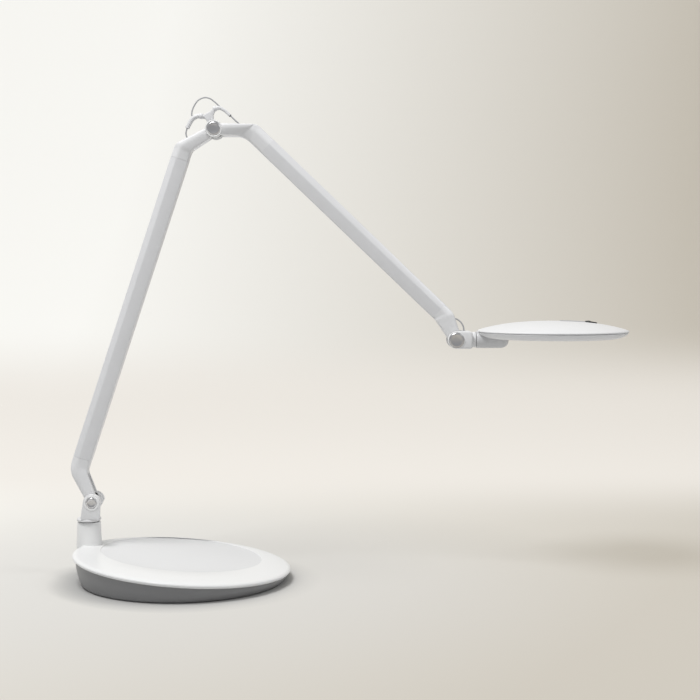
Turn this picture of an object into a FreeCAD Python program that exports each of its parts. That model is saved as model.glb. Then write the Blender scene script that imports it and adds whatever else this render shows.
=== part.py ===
import FreeCAD, Part
import math
import os
from FreeCAD import Vector, Placement, Rotation

# Desk lamp with a wedge base, two tubular arms with cranked fork ends and a flat disc head.
# Millimetres. Origin: centre of the base underside. +X points to the head, +Y away from the
# side with the caps in view, +Z up. The arms lie in the plane y = armY.

os.makedirs("parts", exist_ok=True)
doc = FreeCAD.newDocument("DiscLamp")
sheet = doc.addObject("Spreadsheet::Sheet", "Sizes")

sizes = [
    # base
    ("footRadius", 104.4), ("skirtRadius", 109.5), ("plateRadius", 114.3),
    ("plateTilt", 4.87), ("plateHeight", 22.65), ("plateThick", 5.0), ("plateX", -0.8),
    ("dishX", -4.7), ("dishY", 25.1), ("dishRadius", 85.0), ("dishDepth", 0.7),
    ("skirtWall", 3.0), ("padThick", 1.5), ("padInset", 5.4), ("floorThick", 2.5),
    ("weightInset", 12.4), ("weightGap", 0.3), ("screwRadius", 2.0), ("screwHead", 3.8),
    ("screwCircle", 70.0), ("screwDepth", 8.0),
    ("inletZ", 9.5), ("inletRadius", 4.6), ("inletBore", 2.8), ("inletDepth", 9.0),
    ("inletLength", 12.0), ("inletLip", 6.0), ("inletLipThick", 0.9), ("inletProud", 1.6),
    ("inletSink", 0.4), ("seatBehind", 20.0), ("seatAhead", 10.0), ("floorTongue", 5.0),
    ("seatGap", 0.3), ("skirtSeam", 0.2),
    # post and swivel
    ("postX", -105.9), ("armY", 36.0), ("postRadius", 12.5), ("postFootRadius", 14.0),
    ("postTop", 56.0), ("bushRadius", 7.0), ("bushLength", 20.0), ("shaftRadius", 5.0),
    ("runGap", 0.05), ("thrustRadius", 10.0), ("thrustThick", 1.0),
    ("flangeThick", 3.0), ("flangeStretch", 2.4), ("shaftLength", 26.0),
    ("clipThick", 1.5), ("clipRadius", 6.6),
    # hinges
    ("shoulderX", -100.6), ("shoulderZ", 77.8), ("elbowX", 32.0), ("elbowZ", 475.0),
    ("headX", 288.7), ("headZ", 252.0), ("shoulderHalf", 14.6),
    ("earFoot", 10.2), ("earFootShift", -1.6),
    ("hubHalf", 16.0), ("earIn", 10.6), ("tongueHalf", 10.2), ("slotHalf", 4.6),
    ("pinRadius", 4.0), ("shoulderHub", 9.3), ("elbowHub", 9.1), ("headHub", 9.0),
    ("tongueHub", 8.6), ("shoulderCap", 5.7), ("elbowCap", 7.1), ("headCap", 8.0),
    ("capProud", 1.2), ("capDome", 0.6), ("pinShort", 0.2),
    # arm sections
    ("tubeTall", 19.2), ("tubeWide", 20.0), ("creaseRise", 3.0), ("topHalf", 5.6),
    ("bottomHalf", 7.2), ("tubeWall", 1.6), ("tubeRound", 2.0), ("spigotLength", 16.0),
    ("lowerOffset", 25.6), ("lowerSeam", 41.0), ("upperOffset", 26.0), ("upperFall", 2.77),
    ("upperSeam", 54.0), ("headSeam", 34.0), ("tipHalf", 7.6), ("tipTopRun", 12.0),
    ("tipLowRun", 4.0), ("tipRound", 14.0), ("castRound", 2.4), ("seamFit", 0.15),
    ("cutReach", 60.0), ("cutDrop", 80.0),
    # cranked castings: half height at the hub, then where each edge turns, and how roundly
    ("rootEar", 5.2), ("rootOuter", 24.9), ("rootInner", 28.5), ("rootOuterRound", 24.0),
    ("rootInnerRound", 8.0),
    ("topEar", 5.0), ("topOuter", 27.7), ("topInner", 29.0), ("topOuterRound", 11.0),
    ("topInnerRound", 7.0),
    ("upEar", 5.2), ("upOuter", 29.9), ("upInner", 28.4), ("upOuterRound", 6.0),
    ("upInnerRound", 18.0), ("forkReach", 27.0), ("upForkReach", 30.0), ("faceted", 10.0),
    ("springRadius", 5.0), ("springWire", 1.2),
    # cable guide and wires
    ("wireRadius", 0.9), ("hornRadius", 2.3), ("yokeHalf", 4.2), ("yokeHub", 7.6),
    # head
    ("discX", 392.6), ("rimRadius", 80.3), ("rimZ", 261.0), ("domeRise", 10.5),
    ("bowlDrop", 8.0), ("bowlRadius", 61.0), ("bowlBelly", 74.5), ("bellyDrop", 5.2),
    ("shellWall", 1.8), ("rimLip", 1.2), ("rimInset", 0.2),
    ("diffuserThick", 1.6), ("guideThick", 2.0), ("boardThick", 1.2),
    ("barrelRadius", 8.1), ("barrelEnd", 349.0), ("knuckleEnd", 310.0), ("barrelGap", 0.5),
    ("spindleRadius", 3.5),
    ("stripX", 401.0), ("stripLength", 26.0), ("stripWide", 10.0), ("stripProud", 0.6),
    ("buttonLength", 13.0), ("buttonWide", 9.0), ("buttonProud", 2.0),
]
for row, (name, value) in enumerate(sizes, start=1):
    sheet.set("A%d" % row, name)
    sheet.set("B%d" % row, str(value))
    sheet.setAlias("B%d" % row, name)
doc.recompute()


def size(name):
    return float(sheet.get(name))


nodes = []


def keep(item, label):
    item.Label = label
    nodes.append(item)
    return item


def bind(item, **formulas):
    for key, formula in formulas.items():
        item.setExpression(key, formula)
    return item


def cylinder(name, radius, height, place):
    item = doc.addObject("Part::Cylinder", name)
    bind(item, Radius=radius, Height=height)
    item.Placement = place
    return item


def boolean(kind, name, base, tool):
    item = doc.addObject("Part::" + kind, name)
    item.Base = base
    item.Tool = tool
    return item


def fused(name, *items):
    item = doc.addObject("Part::MultiFuse", name)
    item.Shapes = list(items)
    item.Refine = True
    return item


def cut(name, base, *tools):
    for number, tool in enumerate(tools):
        last = number == len(tools) - 1
        base = boolean("Cut", name if last else name + "_step%d" % number, base, tool)
    return base


def feature(name, shape, place=None):
    item = doc.addObject("Part::Feature", name)
    item.Shape = shape
    if place:
        item.Placement = place.multiply(shape.Placement)
    return item


def revolved(name, corners):
    # PartDesign revolution about Z of a closed outline of (radius, height) corners.
    body = doc.addObject("PartDesign::Body", name)
    sketch = body.newObject("Sketcher::SketchObject", name + "_outline")
    plane = [p for p in body.Origin.OriginFeatures if p.Role == "XZ_Plane"][0]
    sketch.AttachmentSupport = (plane, [""])
    sketch.MapMode = "FlatFace"
    count = len(corners)
    for here, (x, y) in enumerate(corners):
        nextX, nextY = corners[(here + 1) % count]
        sketch.addGeometry(Part.LineSegment(Vector(x, y, 0), Vector(nextX, nextY, 0)), False)
    turn = body.newObject("PartDesign::Revolution", name + "_turn")
    turn.Profile = sketch
    turn.ReferenceAxis = (sketch, ["V_Axis"])
    turn.Angle = 360
    return body


armY = size("armY")
upright = Rotation()
tilt = Rotation(Vector(0, 1, 0), size("plateTilt"))
plateX = size("plateX")


# ---- base: pad, steel floor, cast weight, skirt and tilted cover plate ----

def tiltedBlock(name, drop):
    # everything above the plate's underside, lowered by drop
    block = doc.addObject("Part::Box", name)
    bind(block, Length="Sizes.plateRadius * 4",
         Width="Sizes.plateRadius * 4", Height="Sizes.plateRadius")
    reach = 2 * size("plateRadius")
    corner = tilt.multVec(Vector(-reach, -reach, -size("plateThick") - drop))
    block.Placement = Placement(corner + Vector(plateX, 0, size("plateHeight")), tilt)
    return block


postAt = Vector(size("postX"), armY, 0)
padTop = size("padThick")
floorTop = padTop + size("floorThick")

pad = cylinder("pad_disc", "Sizes.footRadius - Sizes.padInset", "Sizes.padThick", Placement())
keep(pad, "base_pad")

floorDisc = cylinder("floor_disc", "Sizes.footRadius - Sizes.skirtWall - Sizes.seatGap",
                     "Sizes.floorThick", Placement(Vector(0, 0, padTop), upright))
floorEar = cylinder("floor_ear", "Sizes.postRadius", "Sizes.floorThick",
                    Placement(postAt + Vector(0, 0, padTop), upright))
screwSpots = [Vector(size("screwCircle") * math.cos(math.radians(angle)),
                     size("screwCircle") * math.sin(math.radians(angle)), 0)
              for angle in (45, 135, 225, 315)]
screwSpots.append(postAt)


def screwSet(name, gap, depth):
    # countersunk screws from below, or with a gap the holes for them
    parts = []
    for spot in screwSpots:
        start = spot + Vector(0, 0, padTop - gap)
        head = Part.makeCone(size("screwHead") + gap, size("screwRadius") + gap,
                             size("screwHead") - size("screwRadius"), start)
        shank = Part.makeCylinder(size("screwRadius") + gap, depth + gap, start)
        parts.append(head.fuse(shank).removeSplitter())
    return feature(name, Part.makeCompound(parts))


screwHoles = screwSet("screw_holes", size("seatGap"), size("screwDepth"))
keep(screwSet("screw_set", 0, size("screwDepth")), "base_screws")
# a tongue keeps the ear on the disc when the foot is made smaller
tongueTurn = math.degrees(math.atan2(postAt.y, postAt.x))
floorTongue = doc.addObject("Part::Box", "floor_tongue")
bind(floorTongue, Length="sqrt(Sizes.postX^2 + Sizes.armY^2)", Width="Sizes.floorTongue * 2",
     Height="Sizes.floorThick")
tongueWay = Rotation(Vector(0, 0, 1), tongueTurn)
floorTongue.Placement = Placement(
    tongueWay.multVec(Vector(0, -size("floorTongue"), 0)) + Vector(0, 0, padTop), tongueWay)
floorWhole = fused("floor_whole", floorDisc, floorEar, floorTongue)
keep(cut("floor", floorWhole, screwHoles), "base_floor")

skirtOuter = doc.addObject("Part::Cone", "skirt_outer")
bind(skirtOuter, Radius1="Sizes.footRadius", Radius2="Sizes.skirtRadius",
     Height="Sizes.plateHeight * 1.6")
skirtOuter.Placement = Placement(Vector(0, 0, padTop), upright)
skirtInner = doc.addObject("Part::Cone", "skirt_inner")
bind(skirtInner, Radius1="Sizes.footRadius - Sizes.skirtWall",
     Radius2="Sizes.skirtRadius - Sizes.skirtWall", Height="Sizes.plateHeight * 1.6")
skirtInner.Placement = Placement(Vector(0, 0, padTop), upright)
postClear = cylinder("post_clear", "Sizes.postFootRadius + Sizes.seatGap", "Sizes.postTop",
                     Placement(postAt, upright))
inletFace = Vector(0, size("footRadius") + size("inletProud"), size("inletZ"))
backward = Vector(0, -1, 0)
inletBody = Part.makeCylinder(size("inletRadius"), size("inletLength"), inletFace, backward)
inletLip = Part.makeCylinder(size("inletLip"), size("inletLipThick"),
                             inletFace - backward * size("inletSink"), backward)
inletBore = Part.makeCylinder(size("inletBore"), size("inletDepth") + size("inletSink"),
                              inletFace - backward * size("inletSink"), backward)
inletSeat = Part.makeCylinder(size("inletRadius") + size("runGap"),
                              size("seatBehind") + size("seatAhead"),
                              inletFace + backward * size("seatBehind"), -backward)
inletRecess = Part.makeCylinder(size("inletLip") + size("runGap"), size("seatAhead"),
                                inletFace - backward * (size("inletSink")
                                                        - size("inletLipThick")), -backward)
inlet = inletBody.fuse(inletLip).cut(inletBore).removeSplitter()
keep(feature("inlet_solid", inlet), "dc_inlet")
skirt = cut("skirt", skirtOuter, skirtInner, tiltedBlock("skirt_top", size("skirtSeam")),
            postClear, feature("inlet_seat", inletSeat), feature("inlet_recess", inletRecess))
keep(skirt, "base_skirt")

weightDisc = cylinder("weight_disc", "Sizes.footRadius - Sizes.weightInset", "Sizes.plateHeight * 1.6",
                      Placement(Vector(0, 0, floorTop), upright))
# clear of the post's foot, should the foot of the base be made larger
weightClear = cylinder("weight_clear", "Sizes.postFootRadius + Sizes.seatGap", "Sizes.postTop",
                       Placement(postAt, upright))
weight = cut("weight", weightDisc, tiltedBlock("weight_top", size("weightGap")), screwHoles,
             weightClear)
keep(weight, "base_weight")

rimDrop = size("plateThick") / 2
plateR = size("plateRadius")
plateOutline = [
    (0, 0), (plateR - 5.0, 0), (plateR - 1.6, -0.5), (plateR - 0.4, -1.5), (plateR, -rimDrop),
    (plateR - 0.4, -rimDrop - 1.0), (plateR - 2.0, -size("plateThick")),
    (0, -size("plateThick")),
]
plateBody = revolved("plate_disc", plateOutline)
plateBody.Placement = Placement(Vector(plateX, 0, size("plateHeight")), tilt)
dishAt = Vector(plateX, 0, size("plateHeight")) + tilt.multVec(
    Vector(size("dishX") - plateX, size("dishY"), -size("dishDepth")))
dish = doc.addObject("Part::Cone", "dish")
bind(dish, Radius1="Sizes.dishRadius - Sizes.dishDepth * 2",
     Radius2="Sizes.dishRadius + Sizes.dishDepth * 2", Height="Sizes.dishDepth * 2")
dish.Placement = Placement(dishAt, tilt)
postHole = cylinder("post_hole", "Sizes.postFootRadius + Sizes.seatGap", "Sizes.postTop",
                    Placement(postAt, upright))
keep(cut("plate", plateBody, dish, postHole), "base_top_plate")

# ---- post with its bush, thrust washer and the swivelling clevis ----

postCone = doc.addObject("Part::Cone", "post_cone")
bind(postCone, Radius1="Sizes.postFootRadius", Radius2="Sizes.postRadius",
     Height="Sizes.postTop - Sizes.padThick - Sizes.floorThick")
postCone.Placement = Placement(postAt + Vector(0, 0, floorTop), upright)
postBore = cylinder("post_bore", "Sizes.bushRadius", "Sizes.shaftLength + Sizes.clipThick * 4",
                    Placement(postAt + Vector(0, 0, size("postTop") - size("shaftLength")
                                              - 4 * size("clipThick")), upright))
keep(cut("post_tube", postCone, postBore, screwHoles), "post")

bushAt = Placement(postAt + Vector(0, 0, size("postTop") - size("bushLength")), upright)
bushOut = cylinder("bush_out", "Sizes.bushRadius", "Sizes.bushLength", bushAt)
bushIn = cylinder("bush_in", "Sizes.shaftRadius + Sizes.runGap", "Sizes.bushLength", bushAt)
keep(cut("bush", bushOut, bushIn), "swivel_bush")

thrustAt = Placement(postAt + Vector(0, 0, size("postTop")), upright)
thrustOut = cylinder("thrust_out", "Sizes.thrustRadius", "Sizes.thrustThick", thrustAt)
thrustIn = cylinder("thrust_in", "Sizes.shaftRadius + Sizes.seatGap", "Sizes.thrustThick", thrustAt)
keep(cut("thrust", thrustOut, thrustIn), "thrust_washer")

flangeZ = size("postTop") + size("thrustThick")
earsZ = flangeZ + size("flangeThick")
rise = size("shoulderZ") - earsZ


def flange():
    radius = size("postRadius")
    stretch = size("flangeStretch")
    left = Part.Arc(Vector(radius, stretch, 0), Vector(0, stretch + radius, 0),
                    Vector(-radius, stretch, 0)).toShape()
    right = Part.Arc(Vector(-radius, -stretch, 0), Vector(0, -stretch - radius, 0),
                     Vector(radius, -stretch, 0)).toShape()
    ends = [Part.makeLine(Vector(-radius, stretch, 0), Vector(-radius, -stretch, 0)),
            Part.makeLine(Vector(radius, -stretch, 0), Vector(radius, stretch, 0))]
    face = Part.Face(Part.Wire([left, ends[0], right, ends[1]]))
    return face.extrude(Vector(0, 0, size("flangeThick")))


def earPlate(inner, outer, hub, foot, shift, drop):
    # upright ear: a foot of half width foot, narrowing to a round arch about the hinge
    points = [Vector(hub, 0, 0), Vector(foot + shift, 0, -drop),
              Vector(-foot + shift, 0, -drop), Vector(-hub, 0, 0)]
    edges = [Part.makeLine(points[0], points[1]), Part.makeLine(points[1], points[2]),
             Part.makeLine(points[2], points[3]),
             Part.Arc(points[3], Vector(0, 0, hub), points[0]).toShape()]
    plate = Part.Face(Part.Wire(edges)).extrude(Vector(0, outer - inner, 0))
    plate.translate(Vector(0, inner, 0))
    return plate


def bore(radius, half):
    return Part.makeCylinder(radius, 2 * half, Vector(0, -half, 0), Vector(0, 1, 0))


shoulder = Vector(size("shoulderX"), armY, size("shoulderZ"))
base = flange()
base.translate(Vector(size("postX"), armY, flangeZ) - shoulder)
shaft = Part.makeCylinder(size("shaftRadius"), size("shaftLength") + size("thrustThick"),
                          Vector(size("postX"), armY, flangeZ) - shoulder, Vector(0, 0, -1))
clevis = base.fuse([
    shaft,
    earPlate(size("earIn"), size("shoulderHalf"), size("shoulderHub"), size("earFoot"),
             size("earFootShift"), rise),
    earPlate(-size("shoulderHalf"), -size("earIn"), size("shoulderHub"), size("earFoot"),
             size("earFootShift"), rise),
])
clevis = clevis.cut(bore(size("pinRadius") + size("runGap"), 40)).removeSplitter()
keep(feature("clevis_solid", clevis, Placement(shoulder, upright)), "swivel_clevis")

clipAt = Placement(postAt + Vector(0, 0, size("postTop") - size("bushLength")
                                   - size("clipThick") - size("runGap")), upright)
clipOut = cylinder("clip_out", "Sizes.clipRadius", "Sizes.clipThick", clipAt)
clipIn = cylinder("clip_in", "Sizes.shaftRadius", "Sizes.clipThick", clipAt)
keep(cut("clip", clipOut, clipIn), "shaft_clip")


# ---- hinge pins and caps ----

def pinAndCaps(name, centre, cap, half):
    pin = feature(name + "_pin_solid", bore(size("pinRadius"), half - size("pinShort")),
                  Placement(centre, upright))
    keep(pin, name + "_pin")
    domed = []
    for side in (-1, 1):
        start = Vector(0, side * half, 0)
        outward = Vector(0, side, 0)
        disc = Part.makeCylinder(cap, size("capProud") - size("capDome"), start, outward)
        top = Part.makeCone(cap, cap - size("capDome"), size("capDome"),
                            start + outward * (size("capProud") - size("capDome")), outward)
        domed.append(disc.fuse(top).removeSplitter())
    keep(feature(name + "_caps_solid", Part.makeCompound(domed), Placement(centre, upright)),
         name + "_caps")


elbow = Vector(size("elbowX"), armY, size("elbowZ"))
headHinge = Vector(size("headX"), armY, size("headZ"))
pinAndCaps("shoulder", shoulder, size("shoulderCap"), size("shoulderHalf"))
pinAndCaps("elbow", elbow, size("elbowCap"), size("hubHalf"))
pinAndCaps("head", headHinge, size("headCap"), size("hubHalf"))


# ---- arm tubes: hollow section with a crease along each side ----

def sectionWire(inset, u):
    half = size("tubeWide") / 2 - inset
    up = size("tubeTall") / 2 - inset
    top = size("topHalf") - inset / 2
    low = size("bottomHalf") - inset / 2
    rise = size("creaseRise")
    corners = [(half, rise), (top, up), (-top, up), (-half, rise), (-low, -up), (low, -up)]
    loop = [Vector(u, y, z) for y, z in corners]
    return Part.makePolygon(loop + [loop[0]])


def prism(inset, start, length):
    solid = Part.Face(sectionWire(inset, start)).extrude(Vector(length, 0, 0))
    along = [e for e in solid.Edges if abs(e.tangentAt(e.FirstParameter).x) > 0.99]
    flat = [e for e in along if abs(abs(e.CenterOfMass.z) - (size("tubeTall") / 2 - inset)) < 0.01]
    return solid.makeFillet(max(size("tubeRound") - inset / 2, 0.4), flat)


def tube(start, length):
    return prism(0, start, length).cut(prism(size("tubeWall"), start - 1, length + 2))


def spring(start, length):
    # closed-wound tension spring, drawn as its sleeve of wire
    outer = Part.makeCylinder(size("springRadius"), length, Vector(start, 0, 0), Vector(1, 0, 0))
    inner = Part.makeCylinder(size("springRadius") - size("springWire"), length,
                              Vector(start, 0, 0), Vector(1, 0, 0))
    return outer.cut(inner)


# ---- wires: route of straight runs and tangent arcs ----

def path(points):
    # straight runs joined by tangent arcs, in the arm plane
    pieces = []
    start = points[0]
    for number in range(1, len(points) - 1):
        here = points[number]
        before = (points[number - 1] - here)
        after = (points[number + 1] - here)
        run = 0.45 * min(before.Length, after.Length)
        a = here + before.normalize() * run
        b = here + after.normalize() * run
        turn = math.pi - before.getAngle(after)
        radius = run / math.tan(turn / 2)
        centre = here + (before + after).normalize() * (math.hypot(run, radius))
        middle = centre + (here - centre).normalize() * radius
        pieces.append(Part.makeLine(start, a))
        pieces.append(Part.Arc(a, middle, b).toShape())
        start = b
    pieces.append(Part.makeLine(start, points[-1]))
    return Part.Wire(pieces)


def pipe(points, radius):
    wire = path(points)
    first = points[1] - points[0]
    circle = Part.Wire(Part.makeCircle(radius, points[0], first))
    return wire.makePipeShell([circle], True, False)


headWire = [headHinge + Vector(x, 0, z) for x, z in
            ((-5.2, 23.6), (0.6, 22.6), (6.2, 19.4), (9.0, 14.2), (9.4, 9.4))]
keep(feature("head_wire_solid", pipe(headWire, size("wireRadius"))), "head_wire")


# ---- cranked castings ----

def roundedEdge(start, corner, end, radius):
    # two straight runs with an arc of the given radius between them
    before = (start - corner).normalize()
    after = (end - corner).normalize()
    half = before.getAngle(after) / 2
    run = radius / math.tan(half)
    centre = corner + (before + after).normalize() * (radius / math.sin(half))
    a = corner + before * run
    b = corner + after * run
    middle = centre + (corner - centre).normalize() * radius
    return [Part.makeLine(start, a), Part.Arc(a, middle, b).toShape(), Part.makeLine(b, end)]


def crankFace(ear, outer, inner, outerRound, innerRound, offset, fall, seam):
    # side outline of a cranked casting: from the hub out along the leg, then along the tube
    slope = math.tan(math.radians(fall))
    up = size("tubeTall") / 2 / math.cos(math.radians(fall))

    def edgePoint(u, side):
        return Vector(u, 0, offset - u * slope + side * up)

    corners = (edgePoint(outer, 1), edgePoint(inner, -1))
    leg = (corners[0] + corners[1]).normalize()
    normal = Vector(-leg.z, 0, leg.x)
    across = Vector(slope, 0, 1).normalize() * (size("tubeTall") / 2)
    seamMiddle = Vector(seam, 0, offset - seam * slope)
    starts = (normal * ear, normal * -ear)
    ends = (seamMiddle + across, seamMiddle - across)
    top = roundedEdge(starts[0], corners[0], ends[0], outerRound)
    low = roundedEdge(starts[1], corners[1], ends[1], innerRound)
    edges = top + [Part.makeLine(ends[0], ends[1])] + low
    edges.append(Part.makeLine(starts[0], starts[1]))
    return Part.Face(Part.Wire(Part.__sortEdges__(edges)))


def facets(offset, fall, bend, seam):
    # keeps the leg square and brings the straight part down to the creased tube section
    wide = size("tubeWide") / 2
    tall = size("tubeTall") / 2
    rise = size("creaseRise")
    square = [(wide, rise), (wide, tall + 3), (-wide, tall + 3), (-wide, rise),
              (-wide, -tall - 3), (wide, -tall - 3)]
    loop = [Vector(bend, y, z) for y, z in square]
    blend = Part.makeLoft([Part.makePolygon(loop + [loop[0]]),
                           sectionWire(0, bend + size("faceted"))], True, True)
    straight = Part.Face(sectionWire(0, bend + size("faceted"))).extrude(
        Vector(seam + 40 - bend, 0, 0))
    reach = size("cutReach")
    leg = Part.makeBox(bend + reach, reach, 2 * reach,
                       Vector(-reach, -reach / 2, -size("cutDrop")))
    line = Placement(Vector(0, 0, offset), Rotation(Vector(0, 1, 0), fall))
    tool = [blend, straight, leg]
    for piece in tool:
        piece.Placement = line.multiply(piece.Placement)
    return tool[0].fuse(tool[1:])


def planPrism(outline):
    # plan outline given as (u, half width), extruded through the height
    loop = [Vector(u, half, -60) for u, half in outline]
    loop += [Vector(u, -half, -60) for u, half in reversed(outline)]
    return Part.Face(Part.makePolygon(loop + [loop[0]])).extrude(Vector(0, 0, 140))


def softened(solid, radius, half):
    # rounds the long edges where the outline meets the flat sides
    picked = []
    for edge in solid.Edges:
        box = edge.BoundBox
        if box.YLength < 0.01 and abs(abs(edge.CenterOfMass.y) - half) < 0.01 and edge.Length > 25:
            picked.append(edge)
    return solid.makeFillet(radius, picked) if picked else solid


def casting(side, plan, keepTo, hubRadius, hubHalf, slots, halfWidth):
    side.translate(Vector(0, -40, 0))
    solid = side.extrude(Vector(0, 80, 0)).common(planPrism(plan))
    solid = softened(solid, size("castRound"), halfWidth).common(keepTo)
    solid = solid.fuse(bore(hubRadius, hubHalf))
    for slot in slots:
        solid = solid.cut(slot)
    solid = solid.cut(bore(size("pinRadius") + size("runGap"), 40))
    return solid.removeSplitter()


def slotBox(half, reach, behind=20):
    return Part.makeBox(reach + behind, 2 * half, 2 * size("cutReach"),
                        Vector(-behind, -half, -size("cutReach")))


wide = size("tubeWide") / 2
tall = size("tubeTall")


def forkEnd(end):
    # fork of the lower arm, "root" at the shoulder or "top" at the elbow
    seam = size("lowerSeam")
    outer = size(end + "Outer")
    side = crankFace(size(end + "Ear"), outer, size(end + "Inner"), size(end + "OuterRound"),
                     size(end + "InnerRound"), size("lowerOffset"), 0.0, seam)
    solid = casting(side, [(-20, wide), (seam, wide)],
                    facets(size("lowerOffset"), 0.0, size(end + "Inner"), seam),
                    size("tongueHub"), size("tongueHalf"),
                    [slotBox(size("slotHalf"), size("forkReach"))], wide)
    spigot = prism(size("tubeWall") + size("seamFit"), seam, size("spigotLength"))
    spigot.translate(Vector(0, 0, size("lowerOffset")))
    return solid.fuse(spigot).removeSplitter()


lowerLength = (elbow - shoulder).Length
lowerAngle = math.degrees(math.atan2(elbow.z - shoulder.z, elbow.x - shoulder.x))
lowerPlace = Placement(shoulder, Rotation(Vector(0, 1, 0), -lowerAngle))
topFork = forkEnd("top").mirror(Vector(lowerLength / 2, 0, 0), Vector(1, 0, 0))
keep(feature("lower_root_solid", forkEnd("root"), lowerPlace), "lower_root_casting")
keep(feature("lower_top_solid", topFork, lowerPlace), "lower_elbow_casting")
lowerTubeLength = lowerLength - 2 * size("lowerSeam")
lowerTube = tube(size("lowerSeam"), lowerTubeLength)
lowerTube.translate(Vector(0, 0, size("lowerOffset")))
keep(feature("lower_tube_solid", lowerTube, lowerPlace), "lower_tube")
springStart = size("lowerSeam") + size("spigotLength")
lowerSpring = spring(springStart, lowerTubeLength - 2 * size("spigotLength"))
lowerSpring.translate(Vector(0, 0, size("lowerOffset")))
keep(feature("lower_spring_solid", lowerSpring, lowerPlace), "lower_spring")

upperLength = (headHinge - elbow).Length
upperAngle = math.degrees(math.atan2(headHinge.z - elbow.z, headHinge.x - elbow.x))
upperPlace = Placement(elbow, Rotation(Vector(0, 1, 0), -upperAngle))
fall = size("upperFall")
upperSide = crankFace(size("upEar"), size("upOuter"), size("upInner"), size("upOuterRound"),
                      size("upInnerRound"), size("upperOffset"), fall, size("upperSeam"))
upperPlan = [(-20, size("hubHalf")), (13, size("hubHalf")), (26, wide), (size("upperSeam"), wide)]
upperCast = casting(upperSide, upperPlan,
                    facets(size("upperOffset"), fall, size("upOuter") + 4, size("upperSeam")),
                    size("elbowHub"), size("hubHalf"),
                    [bore(13.8, size("earIn")), slotBox(size("slotHalf"), size("upForkReach"))],
                    wide)
upperLine = Rotation(Vector(0, 1, 0), fall)
seamSpot = Vector(size("upperSeam"), 0, size("upperOffset")
                  - size("upperSeam") * math.tan(math.radians(fall)))


def onUpperLine(solid, spot):
    solid.Placement = Placement(spot, upperLine).multiply(solid.Placement)
    return solid


upperEnd = (upperLength - size("headSeam") - size("upperSeam")) / math.cos(math.radians(fall))
upperSpigot = onUpperLine(prism(size("tubeWall") + size("seamFit"), 0, size("spigotLength")), seamSpot)
keep(feature("upper_root_solid", upperCast.fuse(upperSpigot).removeSplitter(), upperPlace),
     "upper_elbow_casting")
keep(feature("upper_tube_solid", onUpperLine(tube(0, upperEnd), seamSpot), upperPlace),
     "upper_tube")
upperSpring = spring(size("spigotLength"), upperEnd - 2 * size("spigotLength"))
keep(feature("upper_spring_solid", onUpperLine(upperSpring, seamSpot), upperPlace),
     "upper_spring")

endSpot = seamSpot + upperLine.multVec(Vector(upperEnd, 0, 0))
headSpot = Vector(upperLength, 0, 0)


def tipFace():
    # side outline of the tip: the tube's section narrowing as it bends down to the hinge
    halfTube = upperLine.multVec(Vector(0, 0, tall / 2))
    drop = (headSpot - endSpot).normalize()
    sideways = Vector(-drop.z, 0, drop.x) * size("tipHalf")
    topCorner = endSpot + halfTube + upperLine.multVec(Vector(size("tipTopRun"), 0, 0))
    lowCorner = endSpot - halfTube + upperLine.multVec(Vector(size("tipLowRun"), 0, 0))
    topRow = roundedEdge(endSpot + halfTube, topCorner, headSpot + sideways, size("tipRound"))
    lowRow = roundedEdge(endSpot - halfTube, lowCorner, headSpot - sideways, size("tipRound"))
    edges = topRow + lowRow + [Part.makeLine(endSpot + halfTube, endSpot - halfTube),
                               Part.makeLine(headSpot + sideways, headSpot - sideways)]
    return Part.Face(Part.Wire(Part.__sortEdges__(edges)))


tipSide = tipFace()
tipPlan = [(endSpot.x - 8, wide), (upperLength + 20, wide)]
tipSide.translate(Vector(0, -40, 0))
tip = tipSide.extrude(Vector(0, 80, 0)).common(planPrism(tipPlan))
tip = softened(tip, size("castRound"), wide)
hubAtHead = bore(size("tongueHub"), size("tongueHalf"))
hubAtHead.translate(headSpot)
pinHole = bore(size("pinRadius") + size("runGap"), 40)
pinHole.translate(headSpot)
tipSpigot = onUpperLine(prism(size("tubeWall") + size("seamFit"), upperEnd - size("spigotLength"),
                              size("spigotLength")), seamSpot)
tip = tip.fuse([hubAtHead, tipSpigot]).cut(pinHole)
wireExit = pipe(headWire, size("wireRadius") + size("seatGap") / 2)
wireExit.Placement = upperPlace.inverse().multiply(wireExit.Placement)
tip = tip.cut(wireExit).removeSplitter()
keep(feature("upper_tip_solid", tip, upperPlace), "upper_head_casting")


# ---- cable guide yoke with its two tubular horns, and the wires ----

def spots(pairs):
    return [elbow + Vector(x, 0, z) for x, z in pairs]


leftHorn = spots([(-11.0, 12.5), (-19.0, 14.9), (-25.0, 11.7), (-28.3, 6.0), (-30.6, 1.2)])
rightHorn = spots([(1.7, 22.9), (5.3, 24.2), (12.2, 19.6), (15.6, 16.3)])
stem = Part.makePolygon([Vector(4.5, 0, 2), Vector(3.8, 0, 21.5), Vector(0.2, 0, 23.6),
                         Vector(-2.6, 0, 21.0), Vector(-11.5, 0, 15.4), Vector(-12.4, 0, 12.0),
                         Vector(-9.6, 0, 10.6), Vector(-6.0, 0, 2), Vector(4.5, 0, 2)])
stem = Part.Face(stem).extrude(Vector(0, 5.0, 0))
stem.translate(Vector(0, -2.5, 0))
yoke = stem.fuse(bore(size("yokeHub"), size("yokeHalf")))
yoke = yoke.cut(bore(size("pinRadius") + size("runGap"), 40))
yoke.translate(elbow)
yoke = yoke.fuse([pipe(leftHorn, size("hornRadius")), pipe(rightHorn, size("hornRadius") * 0.8)])
keep(feature("yoke_solid", yoke.removeSplitter()), "cable_yoke")

loopPoints = spots([(-25.2, 15.2), (-24.4, 21.2), (-20.6, 28.9), (-14.8, 34.6), (-7.4, 35.3),
                    (-0.4, 31.6), (4.3, 27.3)])
keep(feature("wire_loop_solid", pipe(loopPoints, size("wireRadius"))), "elbow_wire")

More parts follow.
